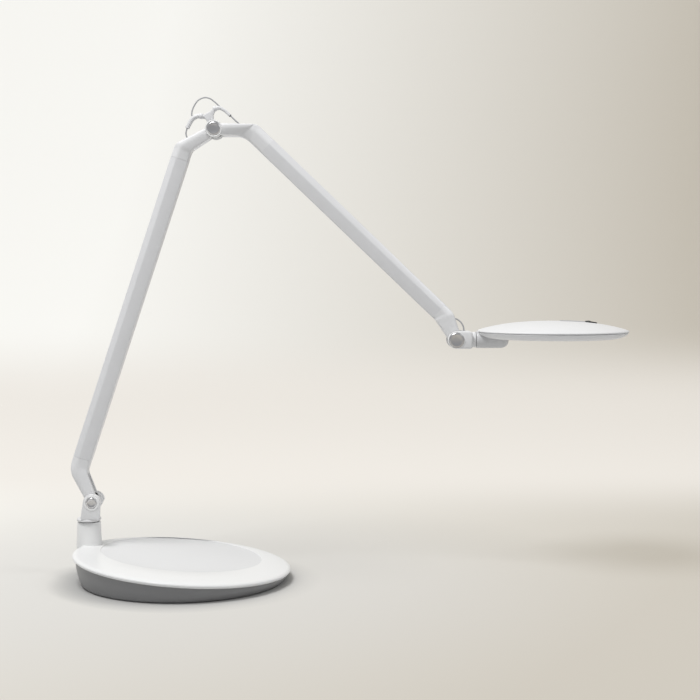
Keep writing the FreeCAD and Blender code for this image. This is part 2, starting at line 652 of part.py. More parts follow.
lowerStub = spots([(-30.9, 0.2), (-31.2, -3.4), (-29.6, -7.6), (-27.6, -11.0)])
keep(feature("lower_stub_solid", pipe(lowerStub, size("wireRadius"))), "wire_stub_lower")
upperStub = spots([(15.8, 16.1), (20.0, 11.7), (23.6, 8.2), (27.4, 5.2)])
keep(feature("upper_stub_solid", pipe(upperStub, size("wireRadius"))), "wire_stub_upper")

# ---- head: knuckle, barrel, disc shells, light parts and the control strip ----

knuckleLength = size("knuckleEnd") - size("headX")
knuckle = bore(size("headHub"), size("hubHalf"))
neckBox = Part.makeBox(knuckleLength - 7.0, 2 * size("hubHalf"), 2 * size("headHub"),
                       Vector(0, -size("hubHalf"), -size("headHub")))
neckCone = Part.makeCylinder(size("barrelRadius"), knuckleLength, Vector(0, 0, 0), Vector(1, 0, 0))
knuckle = knuckle.fuse([neckBox, neckCone]).removeSplitter()
knuckle = knuckle.cut(bore(size("tongueHub") + 1.6, size("earIn")))
swing = Part.makeBox(40, 2 * size("earIn"), 60, Vector(-40, -size("earIn"), -30))
topSlot = Part.makeBox(40 + size("tongueHub") + 1.6, 2 * size("earIn"), 30,
                       Vector(-40, -size("earIn"), 0))
knuckle = knuckle.cut(swing).cut(topSlot).cut(bore(size("pinRadius") + size("runGap"), 40))
spindleHole = Part.makeCylinder(size("spindleRadius") + size("runGap"), 60, Vector(9, 0, 0),
                                Vector(1, 0, 0))
knuckle = knuckle.cut(spindleHole)
keep(feature("knuckle_solid", knuckle, Placement(headHinge, upright)), "head_knuckle")

discAt = Vector(size("discX"), armY, size("rimZ"))
rim = size("rimRadius")
domeRadius = (rim ** 2 + size("domeRise") ** 2) / (2 * size("domeRise"))


def domeCap(inset, floor):
    # spherical cap with its top inset below the dome, down to floor
    ball = Part.makeSphere(domeRadius - inset, Vector(0, 0, size("domeRise") - domeRadius))
    slab = Part.makeCylinder(rim - inset, size("domeRise") + 30, Vector(0, 0, floor))
    return ball.common(slab)


cover = domeCap(0, 0).fuse(Part.makeCylinder(rim, size("rimLip"), Vector(0, 0, -size("rimLip"))))
cover = cover.cut(Part.makeCylinder(rim - size("shellWall"), 2 * size("rimLip"),
                                    Vector(0, 0, -2 * size("rimLip"))))
cover = cover.cut(domeCap(size("shellWall"), 0)).removeSplitter()

boss = size("stripX") - size("discX")
stripSolid = Part.makeBox(size("stripLength"), size("stripWide"), 30,
                          Vector(boss, -size("stripWide") / 2, 0))
buttonX = boss + size("stripLength") + size("seatGap") + size("buttonLength") / 2


def oval(length, width, height, start):
    straight = length - width
    middle = Part.makeBox(straight, width, height, Vector(-straight / 2, -width / 2, start))
    ends = [Part.makeCylinder(width / 2, height, Vector(side * straight / 2, 0, start))
            for side in (-1, 1)]
    return middle.fuse(ends).removeSplitter()


wellGap = size("seatGap")
well = oval(size("buttonLength") + 2 * wellGap, size("buttonWide") + 2 * wellGap, 40, -10)
well.translate(Vector(buttonX, 0, 0))
cover = cover.cut(well)
strip = stripSolid.common(domeCap(-size("stripProud"), 0)).cut(domeCap(0, 0)).removeSplitter()
button = oval(size("buttonLength"), size("buttonWide"), 40, -10)
button.translate(Vector(buttonX, 0, 0))
buttonTop = size("domeRise") - 2.0
button = button.common(domeCap(-size("buttonProud"), buttonTop - 6.0)).removeSplitter()
keep(feature("cover_solid", cover, Placement(discAt, upright)), "head_cover")
keep(feature("strip_solid", strip, Placement(discAt, upright)), "control_strip")
keep(feature("button_solid", button, Placement(discAt, upright)), "dimmer_button")

bowlTop = -size("rimLip")
bowlLip = rim - size("rimInset")


def bowlShape(grow):
    # revolved underside: flat centre, then one arc up to the rim
    low = -size("bowlDrop")
    start = Vector(size("bowlRadius"), 0, low - grow)
    belly = Vector(size("bowlBelly") + grow, 0, -size("bellyDrop") - grow)
    end = Vector(bowlLip + grow, 0, bowlTop)
    edges = [Part.makeLine(Vector(0, 0, low - grow), start), Part.Arc(start, belly, end).toShape(),
             Part.makeLine(end, Vector(0, 0, bowlTop)),
             Part.makeLine(Vector(0, 0, bowlTop), Vector(0, 0, low - grow))]
    return Part.Face(Part.Wire(edges)).revolve(Vector(0, 0, 0), Vector(0, 0, 1), 360)


bowl = bowlShape(0)
bowlHollow = Part.makeCylinder(size("bowlRadius") - size("shellWall") - 1.0,
                               size("bowlDrop") + 5, Vector(0, 0, -size("bowlDrop") - 1))
keep(feature("bowl_solid", bowl.cut(bowlHollow), Placement(discAt, upright)), "head_rim_ring")

lightRadius = size("bowlRadius") - size("shellWall") - 1.0 - size("seatGap")
stack = -size("bowlDrop")
for label, thick in (("diffuser", "diffuserThick"), ("light_guide", "guideThick"),
                     ("led_board", "boardThick")):
    plate = Part.makeCylinder(lightRadius, size(thick), Vector(0, 0, stack))
    keep(feature(label + "_solid", plate, Placement(discAt, upright)), label)
    stack += size(thick)

barrelStart = size("knuckleEnd") + size("barrelGap")
barrel = Part.makeCylinder(size("barrelRadius"), size("barrelEnd") - barrelStart,
                           Vector(barrelStart, armY, size("headZ")), Vector(1, 0, 0))
spindle = Part.makeCylinder(size("spindleRadius"), 12, Vector(barrelStart - 11, armY,
                                                              size("headZ")), Vector(1, 0, 0))
# the barrel is scribed to the underside of the disc
clear = bowlShape(size("seatGap")).fuse(
    Part.makeCylinder(rim + size("seatGap"), 2 * size("bowlDrop"), Vector(0, 0, bowlTop)))
clear.translate(discAt)
nose = Part.makeBox(30, 40, 30, Vector(0, -20, -30))
nose.Placement = Placement(Vector(size("barrelEnd"), armY, size("headZ") + 4.0),
                           Rotation(Vector(0, 1, 0), 55))
barrel = barrel.fuse(spindle).cut(clear).cut(nose).removeSplitter()
keep(feature("barrel_solid", barrel), "head_barrel")

doc.recompute()
failed = [item.Label for item in doc.Objects if {"Invalid", "Error"} & set(item.State)]
for item in nodes:
    if item.Shape.isNull() or not item.Shape.isValid():
        failed.append(item.Label)
    print(item.Label, len(item.Shape.Solids), round(item.Shape.Volume, 1))
if failed:
    raise SystemExit("failed: " + ", ".join(failed))
for item in nodes:
    item.Shape.exportStep("parts/%s.step" % item.Label)
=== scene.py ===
import math
import bpy
import bmesh
from mathutils import Matrix, Vector


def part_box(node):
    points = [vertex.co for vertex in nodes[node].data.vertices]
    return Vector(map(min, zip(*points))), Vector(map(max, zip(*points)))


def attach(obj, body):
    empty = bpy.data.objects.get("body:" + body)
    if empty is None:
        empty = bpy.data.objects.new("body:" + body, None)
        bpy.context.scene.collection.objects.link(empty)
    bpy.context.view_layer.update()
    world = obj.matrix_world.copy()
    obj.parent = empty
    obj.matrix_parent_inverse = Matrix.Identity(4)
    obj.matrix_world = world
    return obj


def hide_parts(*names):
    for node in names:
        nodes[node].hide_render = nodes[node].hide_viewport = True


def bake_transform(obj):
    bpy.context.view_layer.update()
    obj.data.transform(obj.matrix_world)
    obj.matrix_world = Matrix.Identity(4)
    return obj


# Disc-head desk lamp: wedge base, post, two cranked arms, elbow cable yoke, flat lamp head.

bpy.context.scene.view_settings.view_transform = "Standard"
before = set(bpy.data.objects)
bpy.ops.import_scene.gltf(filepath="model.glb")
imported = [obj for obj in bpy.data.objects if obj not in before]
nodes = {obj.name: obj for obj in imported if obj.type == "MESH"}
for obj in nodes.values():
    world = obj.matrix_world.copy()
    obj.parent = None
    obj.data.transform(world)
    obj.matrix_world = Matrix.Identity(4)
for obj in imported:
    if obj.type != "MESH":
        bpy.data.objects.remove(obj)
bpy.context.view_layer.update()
print("frame loaded:", len(nodes), "nodes")


camera = {
    "place": (0.17554, -1.40943, 0.31458),   # metres, solved from the photograph
    "pitch": 87.08,                          # degrees from looking straight down
    "lens": 69.43,                           # mm on a 36 mm sensor
}


def linear(hexColour):
    # sRGB hex to the linear values that a shader wants
    parts = [int(hexColour[i:i + 2], 16) / 255 for i in (1, 3, 5)]
    return tuple(p / 12.92 if p <= 0.04045 else ((p + 0.055) / 1.055) ** 2.4
                 for p in parts) + (1.0,)


def addNode(material, kind, settings=None, **sockets):
    # one node, its settings, and what goes into its sockets: a value or another node's output
    node = material.node_tree.nodes.new(kind)
    for key, value in (settings or {}).items():
        setattr(node, key, value)
    for key, value in sockets.items():
        name = key.replace("_", " ")
        target = node.inputs[int(name[4:])] if name.startswith("slot") else node.inputs[name]
        if isinstance(value, bpy.types.NodeSocket):
            material.node_tree.links.new(value, target)
        else:
            target.default_value = value
    return node


def placeCamera():
    data = bpy.data.cameras.new("camera")
    data.lens = camera["lens"]
    data.sensor_width = 36
    data.clip_start = 0.05
    cam = bpy.data.objects.new("camera", data)
    cam.location = camera["place"]
    cam.rotation_euler = (math.radians(camera["pitch"]), 0, 0)
    bpy.context.scene.collection.objects.link(cam)
    bpy.context.scene.camera = cam


sweep = {
    # near edge, wall, half width, height, bend and how far the floor lies below 0, in metres
    "near": -2.6, "wall": 2.6, "half": 4.5, "high": 3.6, "bend": 1.1, "floorBelow": 0.0002,
    # ends of the painted light falloff: lit cream, shaded beige
    "cream": "#FEFDF8", "beige": "#C2BAAB",
    "band": "#ECE6DD",                       # painted band of light, paler, low on the wall
    "bounce": "#DEDEDD",                     # the paper as the lamp sees it, kept neutral
    # painted light falloff: how fast the tone turns to beige to the right, from where, upward and
    # to the front
    "across": 0.62, "start": 0.36, "upward": -0.13, "front": 0.45,
    # painted band of light: its height, where on the floor it starts and is full, and how strong,
    # in metres
    "bandHigh": 0.22, "bandFrom": 0.25, "bandFull": 0.85, "bandShare": 0.85,
    # how much of what the camera sees is the painted, glowing tone, near the foot and away from it
    "footShare": 0.42, "plainShare": 0.72, "footReach": (0.10, 0.55),
    # glow strength, and reach and power of the painted contact shadow round the foot
    "glow": 1.17, "paintedShadowReach": 0.035, "paintedShadowPower": 2.2,
}


def makeSweep():
    # a paper sweep: level floor that curves up into a wall
    bpy.ops.object.select_all(action="DESELECT")
    mesh = bpy.data.meshes.new("paper_sweep")
    shape = bmesh.new()
    line = [(sweep["near"], 0.0)]
    for step in range(13):
        turn = math.radians(90 * step / 12)
        line.append((sweep["wall"] - sweep["bend"] + sweep["bend"] * math.sin(turn),
                     sweep["bend"] * (1 - math.cos(turn))))
    line.append((sweep["wall"], sweep["high"]))
    left = [shape.verts.new((-sweep["half"], y, z - sweep["floorBelow"])) for y, z in line]
    right = [shape.verts.new((sweep["half"], y, z - sweep["floorBelow"])) for y, z in line]
    for i in range(len(line) - 1):
        shape.faces.new((left[i], right[i], right[i + 1], left[i + 1])).smooth = True
    shape.to_mesh(mesh)
    shape.free()
    obj = bpy.data.objects.new("paper_sweep", mesh)
    bpy.context.scene.collection.objects.link(obj)
    mesh.materials.append(paperFinish())


def paintedPaperFalloff(material, coords):
    # painted light falloff: cream upper left to beige lower right, with a broad painted band of
    # light, fixed to the paper
    split = addNode(material, "ShaderNodeSeparateXYZ", Vector=coords)
    across = addNode(material, "ShaderNodeMath", {"operation": "MULTIPLY_ADD"},
                     slot0=split.outputs["X"], slot1=sweep["across"], slot2=sweep["start"])
    upward = addNode(material, "ShaderNodeMath", {"operation": "MULTIPLY_ADD"},
                     slot0=split.outputs["Z"], slot1=sweep["upward"], slot2=across.outputs[0])
    front = addNode(material, "ShaderNodeMapRange", From_Min=0.9, From_Max=-0.4, To_Min=0.0,
                    To_Max=sweep["front"], Value=split.outputs["Y"])
    nearer = addNode(material, "ShaderNodeMath", {"operation": "ADD"},
                     slot0=front.outputs[0], slot1=upward.outputs[0])
    ramp = addNode(material, "ShaderNodeMapRange", From_Min=0.0, From_Max=1.0, To_Min=0.0,
                   To_Max=1.0, Value=nearer.outputs[0])
    tone = addNode(material, "ShaderNodeMix", {"data_type": "RGBA"}, Factor=ramp.outputs[0],
                   slot6=linear(sweep["cream"]), slot7=linear(sweep["beige"]))
    height = addNode(material, "ShaderNodeMapRange", {"interpolation_type": "SMOOTHERSTEP"},
                     From_Min=0.0, From_Max=sweep["bandHigh"], To_Min=1.0, To_Max=0.0,
                     Value=split.outputs["Z"])
    depth = addNode(material, "ShaderNodeMapRange", {"interpolation_type": "SMOOTHERSTEP"},
                    From_Min=sweep["bandFrom"], From_Max=sweep["bandFull"], To_Min=0.0,
                    To_Max=sweep["bandShare"], Value=split.outputs["Y"])
    patch = addNode(material, "ShaderNodeMath", {"operation": "MULTIPLY"},
                    slot0=height.outputs[0], slot1=depth.outputs[0])
    whole = addNode(material, "ShaderNodeMix", {"data_type": "RGBA"}, Factor=patch.outputs[0],
                    slot6=tone.outputs[2], slot7=linear(sweep["band"]))
    return whole.outputs[2]


def paperFinish():
    # matt paper, lit in part by its own painted, glowing tone so that the lamp's light doesn't burn
    # it out
    material = bpy.data.materials.new("paperSweep")
    material.use_nodes = True
    tree = material.node_tree
    tree.nodes.clear()
    out = addNode(material, "ShaderNodeOutputMaterial")
    coords = addNode(material, "ShaderNodeTexCoord").outputs["Object"]
    paper = addNode(material, "ShaderNodeBsdfDiffuse", Color=linear(sweep["bounce"]),
                    Roughness=1.0)
    # painted contact shadow: the glow dims where the foot meets the paper
    corner = addNode(material, "ShaderNodeAmbientOcclusion", {"samples": 12},
                     Distance=sweep["paintedShadowReach"])
    deeper = addNode(material, "ShaderNodeMath", {"operation": "POWER"},
                     slot0=corner.outputs["AO"], slot1=sweep["paintedShadowPower"])
    strength = addNode(material, "ShaderNodeMath", {"operation": "MULTIPLY"},
                       slot0=deeper.outputs[0], slot1=sweep["glow"])
    glow = addNode(material, "ShaderNodeEmission", Color=paintedPaperFalloff(material, coords),
                   Strength=strength.outputs[0])
    rays = addNode(material, "ShaderNodeLightPath")
    seen = addNode(material, "ShaderNodeMath", {"operation": "MAXIMUM"},
                   slot0=rays.outputs["Is Camera Ray"], slot1=rays.outputs["Is Glossy Ray"])
    seenToo = addNode(material, "ShaderNodeMath", {"operation": "MAXIMUM"},
                      slot0=seen.outputs[0], slot1=rays.outputs["Is Transmission Ray"])
    # near the foot more of the light is real, so the contact shadow shows
    away = addNode(material, "ShaderNodeVectorMath", {"operation": "LENGTH"}, slot0=coords)
    near, far = sweep["footReach"]
    plain = addNode(material, "ShaderNodeMapRange", {"interpolation_type": "SMOOTHSTEP"},
                    From_Min=near, From_Max=far, To_Min=sweep["footShare"],
                    To_Max=sweep["plainShare"], Value=away.outputs["Value"])
    share = addNode(material, "ShaderNodeMath", {"operation": "MULTIPLY"},
                    slot0=seenToo.outputs[0], slot1=plain.outputs[0])
    mix = addNode(material, "ShaderNodeMixShader", Fac=share.outputs[0],
                  slot1=paper.outputs[0], slot2=glow.outputs[0])
    tree.links.new(mix.outputs[0], out.inputs["Surface"])
    return material


lamps = [
    # name, place, aim, size, watts
    ("overhead", (-0.50, -0.70, 2.1), (0.1, 0.0, 0.2), 0.8, 33.0),
    ("right_high", (1.6, -0.25, 1.5), (0.0, 0.0, 0.15), 0.5, 5.0),
]


studio = {"colour": "#FCFDFF", "strength": 0.345}     # even light from all round


def lightScene():
    for name, place, aim, wide, watts in lamps:
        data = bpy.data.lights.new(name, "AREA")
        data.shape = "DISK"
        data.size = wide
        data.energy = watts
        lamp = bpy.data.objects.new(name, data)
        lamp.location = place
        lamp.rotation_euler = (Vector(aim) - Vector(place)).to_track_quat("-Z", "Y").to_euler()
        bpy.context.scene.collection.objects.link(lamp)
    world = bpy.data.worlds.new("studio")
    bpy.context.scene.world = world
    world.use_nodes = True
    ground = world.node_tree.nodes["Background"]
    ground.inputs["Color"].default_value = linear(studio["colour"])
    ground.inputs["Strength"].default_value = studio["strength"]


def newFinish(name, colour, roughness, metallic=0.0):
    material = bpy.data.materials.new(name)
    material.use_nodes = True
    shader = material.node_tree.nodes["Principled BSDF"]
    shader.inputs["Base Color"].default_value = linear(colour)
    shader.inputs["Roughness"].default_value = roughness
    shader.inputs["Metallic"].default_value = metallic
    return material, shader


def grain(material, shader, millimetres, depth, tones):
    # surface texture of one real size, as bump, and a slight broad change of tone
    coords = addNode(material, "ShaderNodeTexCoord").outputs["Object"]
    noise = addNode(material, "ShaderNodeTexNoise", Vector=coords, Scale=1000.0 / millimetres,
                    Detail=3.0, Roughness=0.55)
    bump = addNode(material, "ShaderNodeBump", Height=noise.outputs[0], Strength=depth,
                   Distance=0.0002)
    material.node_tree.links.new(bump.outputs[0], shader.inputs["Normal"])
    broad = addNode(material, "ShaderNodeTexNoise", Vector=coords,
                    Scale=1000.0 / (millimetres * 22), Detail=2.0)
    tone = addNode(material, "ShaderNodeMix", {"data_type": "RGBA"}, Factor=broad.outputs[0],
                   slot6=linear(tones[0]), slot7=linear(tones[1]))
    material.node_tree.links.new(tone.outputs[2], shader.inputs["Base Color"])


def powderCoat(name, tones, roughness):
    # polyester powder over metal: even colour, a faint orange peel about 1.6 mm across
    material, shader = newFinish(name, tones[0], roughness)
    shader.inputs["Coat Weight"].default_value = 0.18
    shader.inputs["Coat Roughness"].default_value = 0.22
    grain(material, shader, 1.6, 0.10, tones)
    return material


def mouldedPlastic(name, tones, roughness, texture=0.5):
    # injection moulded, with a fine spark-eroded grain (drawn at the size given)
    material, shader = newFinish(name, tones[0], roughness)
    grain(material, shader, texture, 0.14, tones)
    return material


def turnedMetal(name, tones, roughness):
    # machined face: fine rings too small to see one by one, so only the gloss spreads
    material, shader = newFinish(name, tones[0], roughness, metallic=1.0)
    grain(material, shader, 0.7, 0.10, tones)
    return material


finishes = {
    # gloss white powder on the cover, post and hinge rings
    "whiteEnamel": powderCoat("whiteEnamel", ("#F5F5F4", "#F2F2F1"), 0.34),
    # the same powder, darker and less glossy on the dish's floor
    "dishEnamel": powderCoat("dishEnamel", ("#E9E9E9", "#E6E6E6"), 0.46),
    # white powder over die-cast aluminium
    "castingPaint": powderCoat("castingPaint", ("#E9E9E9", "#E5E5E6"), 0.34),
    # white powder over extruded aluminium
    "tubePaint": powderCoat("tubePaint", ("#E4E4E5", "#E0E0E1"), 0.30),
    # mid-grey powder on the steel skirt
    "skirtPaint": powderCoat("skirtPaint", ("#8C8C8D", "#868687"), 0.42),
    # the white powder, painted pale grey on the turned barrel: painted shadow of the disc above it
    "barrelShadePaint": powderCoat("barrelShadePaint", ("#D4D4D5", "#CECECF"), 0.40),
    # satin nickel-plated hinge caps
    "capMetal": turnedMetal("capMetal", ("#DCDCDE", "#D4D4D6"), 0.30),
    # bare zinc-plated steel
    "steel": turnedMetal("steel", ("#B4B4B6", "#A6A6A8"), 0.30),
    # rough grey iron
    "ironCast": mouldedPlastic("ironCast", ("#4A4A4B", "#3E3E3F"), 0.75, 1.5),
    # moulded white nylon
    "yokeNylon": mouldedPlastic("yokeNylon", ("#E2E2E3", "#DCDCDD"), 0.44),
    # light grey PVC jacket
    "wireSheath": mouldedPlastic("wireSheath", ("#B6B6B8", "#AEAEB1"), 0.42),
    # moulded white ABS head shell
    "discShell": mouldedPlastic("discShell", ("#EFEFEF", "#EBEBEB"), 0.46, 0.8),
    # the head's lower shell, the same ABS
    "rimPlastic": mouldedPlastic("rimPlastic", ("#EBEBEC", "#E6E6E7"), 0.45, 0.8),
    # opal acrylic diffuser
    "opalSheet": mouldedPlastic("opalSheet", ("#F4F3F0", "#EFEEEB"), 0.35, 0.6),
    # clear edge-lit acrylic
    "clearAcrylic": mouldedPlastic("clearAcrylic", ("#E8ECEE", "#E2E7E9"), 0.12, 3.0),
    # white solder mask on the board
    "ledBoard": mouldedPlastic("ledBoard", ("#E9E9E6", "#DCDCD8"), 0.40, 2.0),
    # black ABS
    "blackPlastic": mouldedPlastic("blackPlastic", ("#1C1C1D", "#242425"), 0.36),
    # dark acetal bush and washer, and the dark ring that paints the shade in a horn's open mouth
    "acetal": mouldedPlastic("acetal", ("#2B2B2C", "#333334"), 0.40),
    # black non-slip rubber
    "padRubber": mouldedPlastic("padRubber", ("#202021", "#2A2A2B"), 0.85, 1.2),
    # pale grey moulded inlay
    "stripPlastic": mouldedPlastic("stripPlastic", ("#C9C9CA", "#C2C2C3"), 0.42),
}

wears = {
    "whiteEnamel": ["base_top_plate", "post"],
    "skirtPaint": ["base_skirt"],
    "steel": ["base_floor", "base_screws", "shaft_clip", "shoulder_pin", "elbow_pin", "head_pin",
              "lower_spring", "upper_spring"],
    "ironCast": ["base_weight"],
    "padRubber": ["base_pad"],
    "blackPlastic": ["dc_inlet", "dimmer_button"],
    "acetal": ["swivel_bush", "thrust_washer"],
    "castingPaint": ["swivel_clevis", "lower_root_casting", "lower_elbow_casting",
                     "upper_elbow_casting", "upper_head_casting", "head_knuckle"],
    "tubePaint": ["lower_tube", "upper_tube"],
    "capMetal": ["shoulder_caps", "elbow_caps", "head_caps"],
    "yokeNylon": ["cable_yoke"],
    "wireSheath": ["elbow_wire", "wire_stub_lower", "wire_stub_upper", "head_wire"],
    "discShell": ["head_cover"],
    "rimPlastic": ["head_rim_ring"],
    "opalSheet": ["diffuser"],
    "clearAcrylic": ["light_guide"],
    "ledBoard": ["led_board"],
    "stripPlastic": ["control_strip"],
    "barrelShadePaint": ["head_barrel"],
}


def dressNodes():
    for finish, names in wears.items():
        for name in names:
            mesh = nodes[name].data
            mesh.materials.clear()
            mesh.materials.append(finishes[finish])


def middle(node):
    # centre of a CAD node's box, in metres
    low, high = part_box(node)
    return Vector([(a + b) / 2 for a, b in zip(low, high)])


shoulder, elbow, headHinge = (middle(n + "_pin") for n in ("shoulder", "elbow", "head"))
mm = 0.001


def startPiece(name, adder, **settings):
    bpy.ops.object.select_all(action="DESELECT")
    adder(**settings)
    piece = bpy.context.object
    piece.name = name
    return piece


def pick(piece, mode, test):
    # select the faces, edges or verts that pass the test, in edit mode
    bpy.ops.mesh.select_mode(type=mode)
    bpy.ops.mesh.select_all(action="DESELECT")
    shape = bmesh.from_edit_mesh(piece.data)
    items = {"FACE": shape.faces, "EDGE": shape.edges, "VERT": shape.verts}[mode]
    for item in items:
        if test(item):
            item.select_set(True)
    shape.select_flush_mode()
    bmesh.update_edit_mesh(piece.data)


def choose(piece):
    # the only selected piece, and the active one
    bpy.ops.object.select_all(action="DESELECT")
    piece.select_set(True)
    bpy.context.view_layer.objects.active = piece


def applyPlace(*pieces):
    for piece in pieces:
        choose(piece)
        bpy.ops.object.transform_apply(location=True, rotation=True, scale=True)


def modify(piece, kind, **settings):
    choose(piece)
    modifier = piece.modifiers.new(kind.lower(), kind)
    for key, value in settings.items():
        setattr(modifier, key, value)
    bpy.ops.object.modifier_apply(modifier=modifier.name)


def roundEdges(piece, width, segments, over=50):
    # round the edges that turn by more than so many degrees; the width is in mm
    modify(piece, "BEVEL", width=width * mm, segments=segments, limit_method="ANGLE",
           angle_limit=math.radians(over))


def push(*shift):
    # extrude what is selected by so many mm along x, y and z
    bpy.ops.mesh.extrude_region_move(
        TRANSFORM_OT_translate={"value": tuple(step * mm for step in shift)})


def finishPiece(piece, finish, body, slot, *replaced, angle=32):
    # place applied, normals out, smooth shading, finish and body; the slot argument is not used
    applyPlace(piece)
    bpy.ops.object.mode_set(mode="EDIT")
    bpy.ops.mesh.select_all(action="SELECT")
    bpy.ops.mesh.remove_doubles(threshold=0.00001)
    bpy.ops.mesh.normals_make_consistent(inside=False)
    bpy.ops.object.mode_set(mode="OBJECT")
    bpy.ops.object.shade_smooth_by_angle(angle=math.radians(angle))
    piece.data.materials.clear()
    piece.data.materials.append(finishes[finish])
    if body:
        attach(piece, body)
    if replaced:
        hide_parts(*replaced)
    return piece


def joined(name, pieces):
    bpy.ops.object.select_all(action="DESELECT")
    for piece in pieces:
        piece.select_set(True)
    bpy.context.view_layer.objects.active = pieces[0]
    bpy.ops.object.join()
    whole = bpy.context.object
    whole.name = name
    return whole


def along(points, samples=8):
    # smooth path through points in metres, by a spline
    rows = []
    full = [points[0] * 2 - points[1]] + points + [points[-1] * 2 - points[-2]]
    for i in range(1, len(full) - 2):
        a, b, c, d = full[i - 1:i + 3]
        for step in range(samples):
            t = step / samples
            rows.append(0.5 * ((2 * b) + (c - a) * t + (2 * a - 5 * b + 4 * c - d) * t * t
                               + (3 * b - a - 3 * c + d) * t ** 3))
    rows.append(points[-1].copy())
    return rows


def circlePiece(name, sides):
    # a unit circle in edit mode, to be extruded ring by ring
    piece = startPiece(name, bpy.ops.mesh.primitive_circle_add, vertices=sides, radius=1.0,
                       fill_type="NGON")
    bpy.ops.object.mode_set(mode="EDIT")
    return piece


def nextRing(piece, number):
    # extrude once more (but not for the first ring) and give the new ring's verts in order
    if number:
        bpy.ops.mesh.extrude_region_move()
    shape = bmesh.from_edit_mesh(piece.data)
    layers = shape.verts.layers.int
    order, row = (layers.get(key) or layers.new(key) for key in ("order", "row"))
    order = layers["order"]
    ring = [v for v in shape.verts if v.select]
    for i, v in enumerate(ring):
        v[row] = number
        if not number:
            v[order] = i
    return shape, [(v[order], v) for v in ring]


def endRings(piece):
    bpy.ops.object.mode_set(mode="OBJECT")
    for name in ("order", "row"):
        piece.data.attributes.remove(piece.data.attributes[name])
    return piece


def sweepRound(name, points, radii, sides=20, samples=8, endRound=0.0):
    # a round bar along a smooth path: a circle extruded from place to place
    rows = along(points, samples)
    spread = []
    for i in range(len(rows)):
        t = i / (len(rows) - 1) * (len(radii) - 1)
        k = min(int(t), len(radii) - 2)
        spread.append(radii[k] + (radii[k + 1] - radii[k]) * (t - k))
    if endRound:
        first, last = rows[0], rows[-1]
        headWay, tailWay = (rows[0] - rows[1]).normalized(), (rows[-1] - rows[-2]).normalized()
        for share, thin in ((0.55, 0.86), (0.9, 0.5)):
            rows.insert(0, first + headWay * endRound * share)
            spread.insert(0, radii[0] * thin)
            rows.append(last + tailWay * endRound * share)
            spread.append(radii[-1] * thin)
    piece = circlePiece(name, sides)
    for i, here in enumerate(rows):
        shape, ring = nextRing(piece, i)
        way = (rows[min(i + 1, len(rows) - 1)] - rows[max(i - 1, 0)]).normalized()
        side = way.cross(Vector((0, 1, 0))).normalized()
        across = side.cross(way)
        for number, v in ring:
            turn = 2 * math.pi * number / sides
            v.co = here + (side * math.cos(turn) + across * math.sin(turn)) * spread[i]
        bmesh.update_edit_mesh(piece.data)
    return endRings(piece)


def turned(name, profile, place, axis=(0, 0, 1), sides=64):
    # a turned piece: circles bridged one to the next; profile is (radius, height) in mm
    piece = startPiece(name, bpy.ops.mesh.primitive_circle_add, vertices=sides,
                       radius=profile[0][0] * mm, location=(0, 0, profile[0][1] * mm))
    bpy.ops.object.transform_apply(location=True, rotation=False, scale=False)
    bpy.ops.object.mode_set(mode="EDIT")
    bpy.ops.mesh.edge_face_add()
    for (r0, h0), (r1, h1) in zip(profile, profile[1:]):
        push(0, 0, h1 - h0)
        bpy.ops.transform.resize(value=(r1 / r0, r1 / r0, 1), center_override=(0, 0, h1 * mm))
    bpy.ops.object.mode_set(mode="OBJECT")
    facing = Vector((0, 0, 1)).rotation_difference(Vector(axis))
    piece.data.transform(facing.to_matrix().to_4x4())
    piece.location = place
    return piece


def outlinePiece(name, outline, spot):
    # one face with a corner at the spot of each pair of the outline, left in edit mode
    piece = circlePiece(name, len(outline))
    shape = bmesh.from_edit_mesh(piece.data)
    shape.verts.ensure_lookup_table()
    for v, pair in zip(shape.verts, outline):
        v.co = spot(*pair)
    bmesh.update_edit_mesh(piece.data)
    return piece


def cutPlate(name, outline, centre, low, high, bevel, segments=3):
    # an outline of (x, z) in mm about centre, extruded along y from low to high, edges rounded
    plate = outlinePiece(name, outline, lambda x, z: centre + Vector((x, low, z)) * mm)
    push(0, high - low, 0)
    bpy.ops.object.mode_set(mode="OBJECT")
    roundEdges(plate, bevel, segments)
    return plate


base = {
    "centre": (-0.8, 0.0, 22.65), "tilt": 4.87, "radius": 114.3,       # mm, degrees
    # cover plate's edge from the underside up: (inset from the radius, height)
    "edge": [(2.4, -5.0), (1.3, -4.5), (0.5, -3.6), (0.05, -2.6), (0.35, -1.6), (1.2, -0.8),
             (2.6, -0.25), (5.0, 0.0)],
    "dish": (-3.9, 25.1), "step": [(86.6, -0.02), (86.2, -0.12), (85.9, -0.5), (85.5, -0.85),
                                   (84.8, -0.98), (60.0, -1.0), (30.0, -1.0)],
    "floorReach": 85.2,         # within this the cover is the dish's floor
    # skirt: foot and top radius, how far it stops under the cover and how much it swells, mm
    "foot": 106.4, "footZ": 0.8, "skirtTop": 110.8, "skirtDrop": 4.6, "swell": 1.2,
    "footEdge": (1.2, 1.0), "skirtRows": 5, "skirtSides": 160,
}


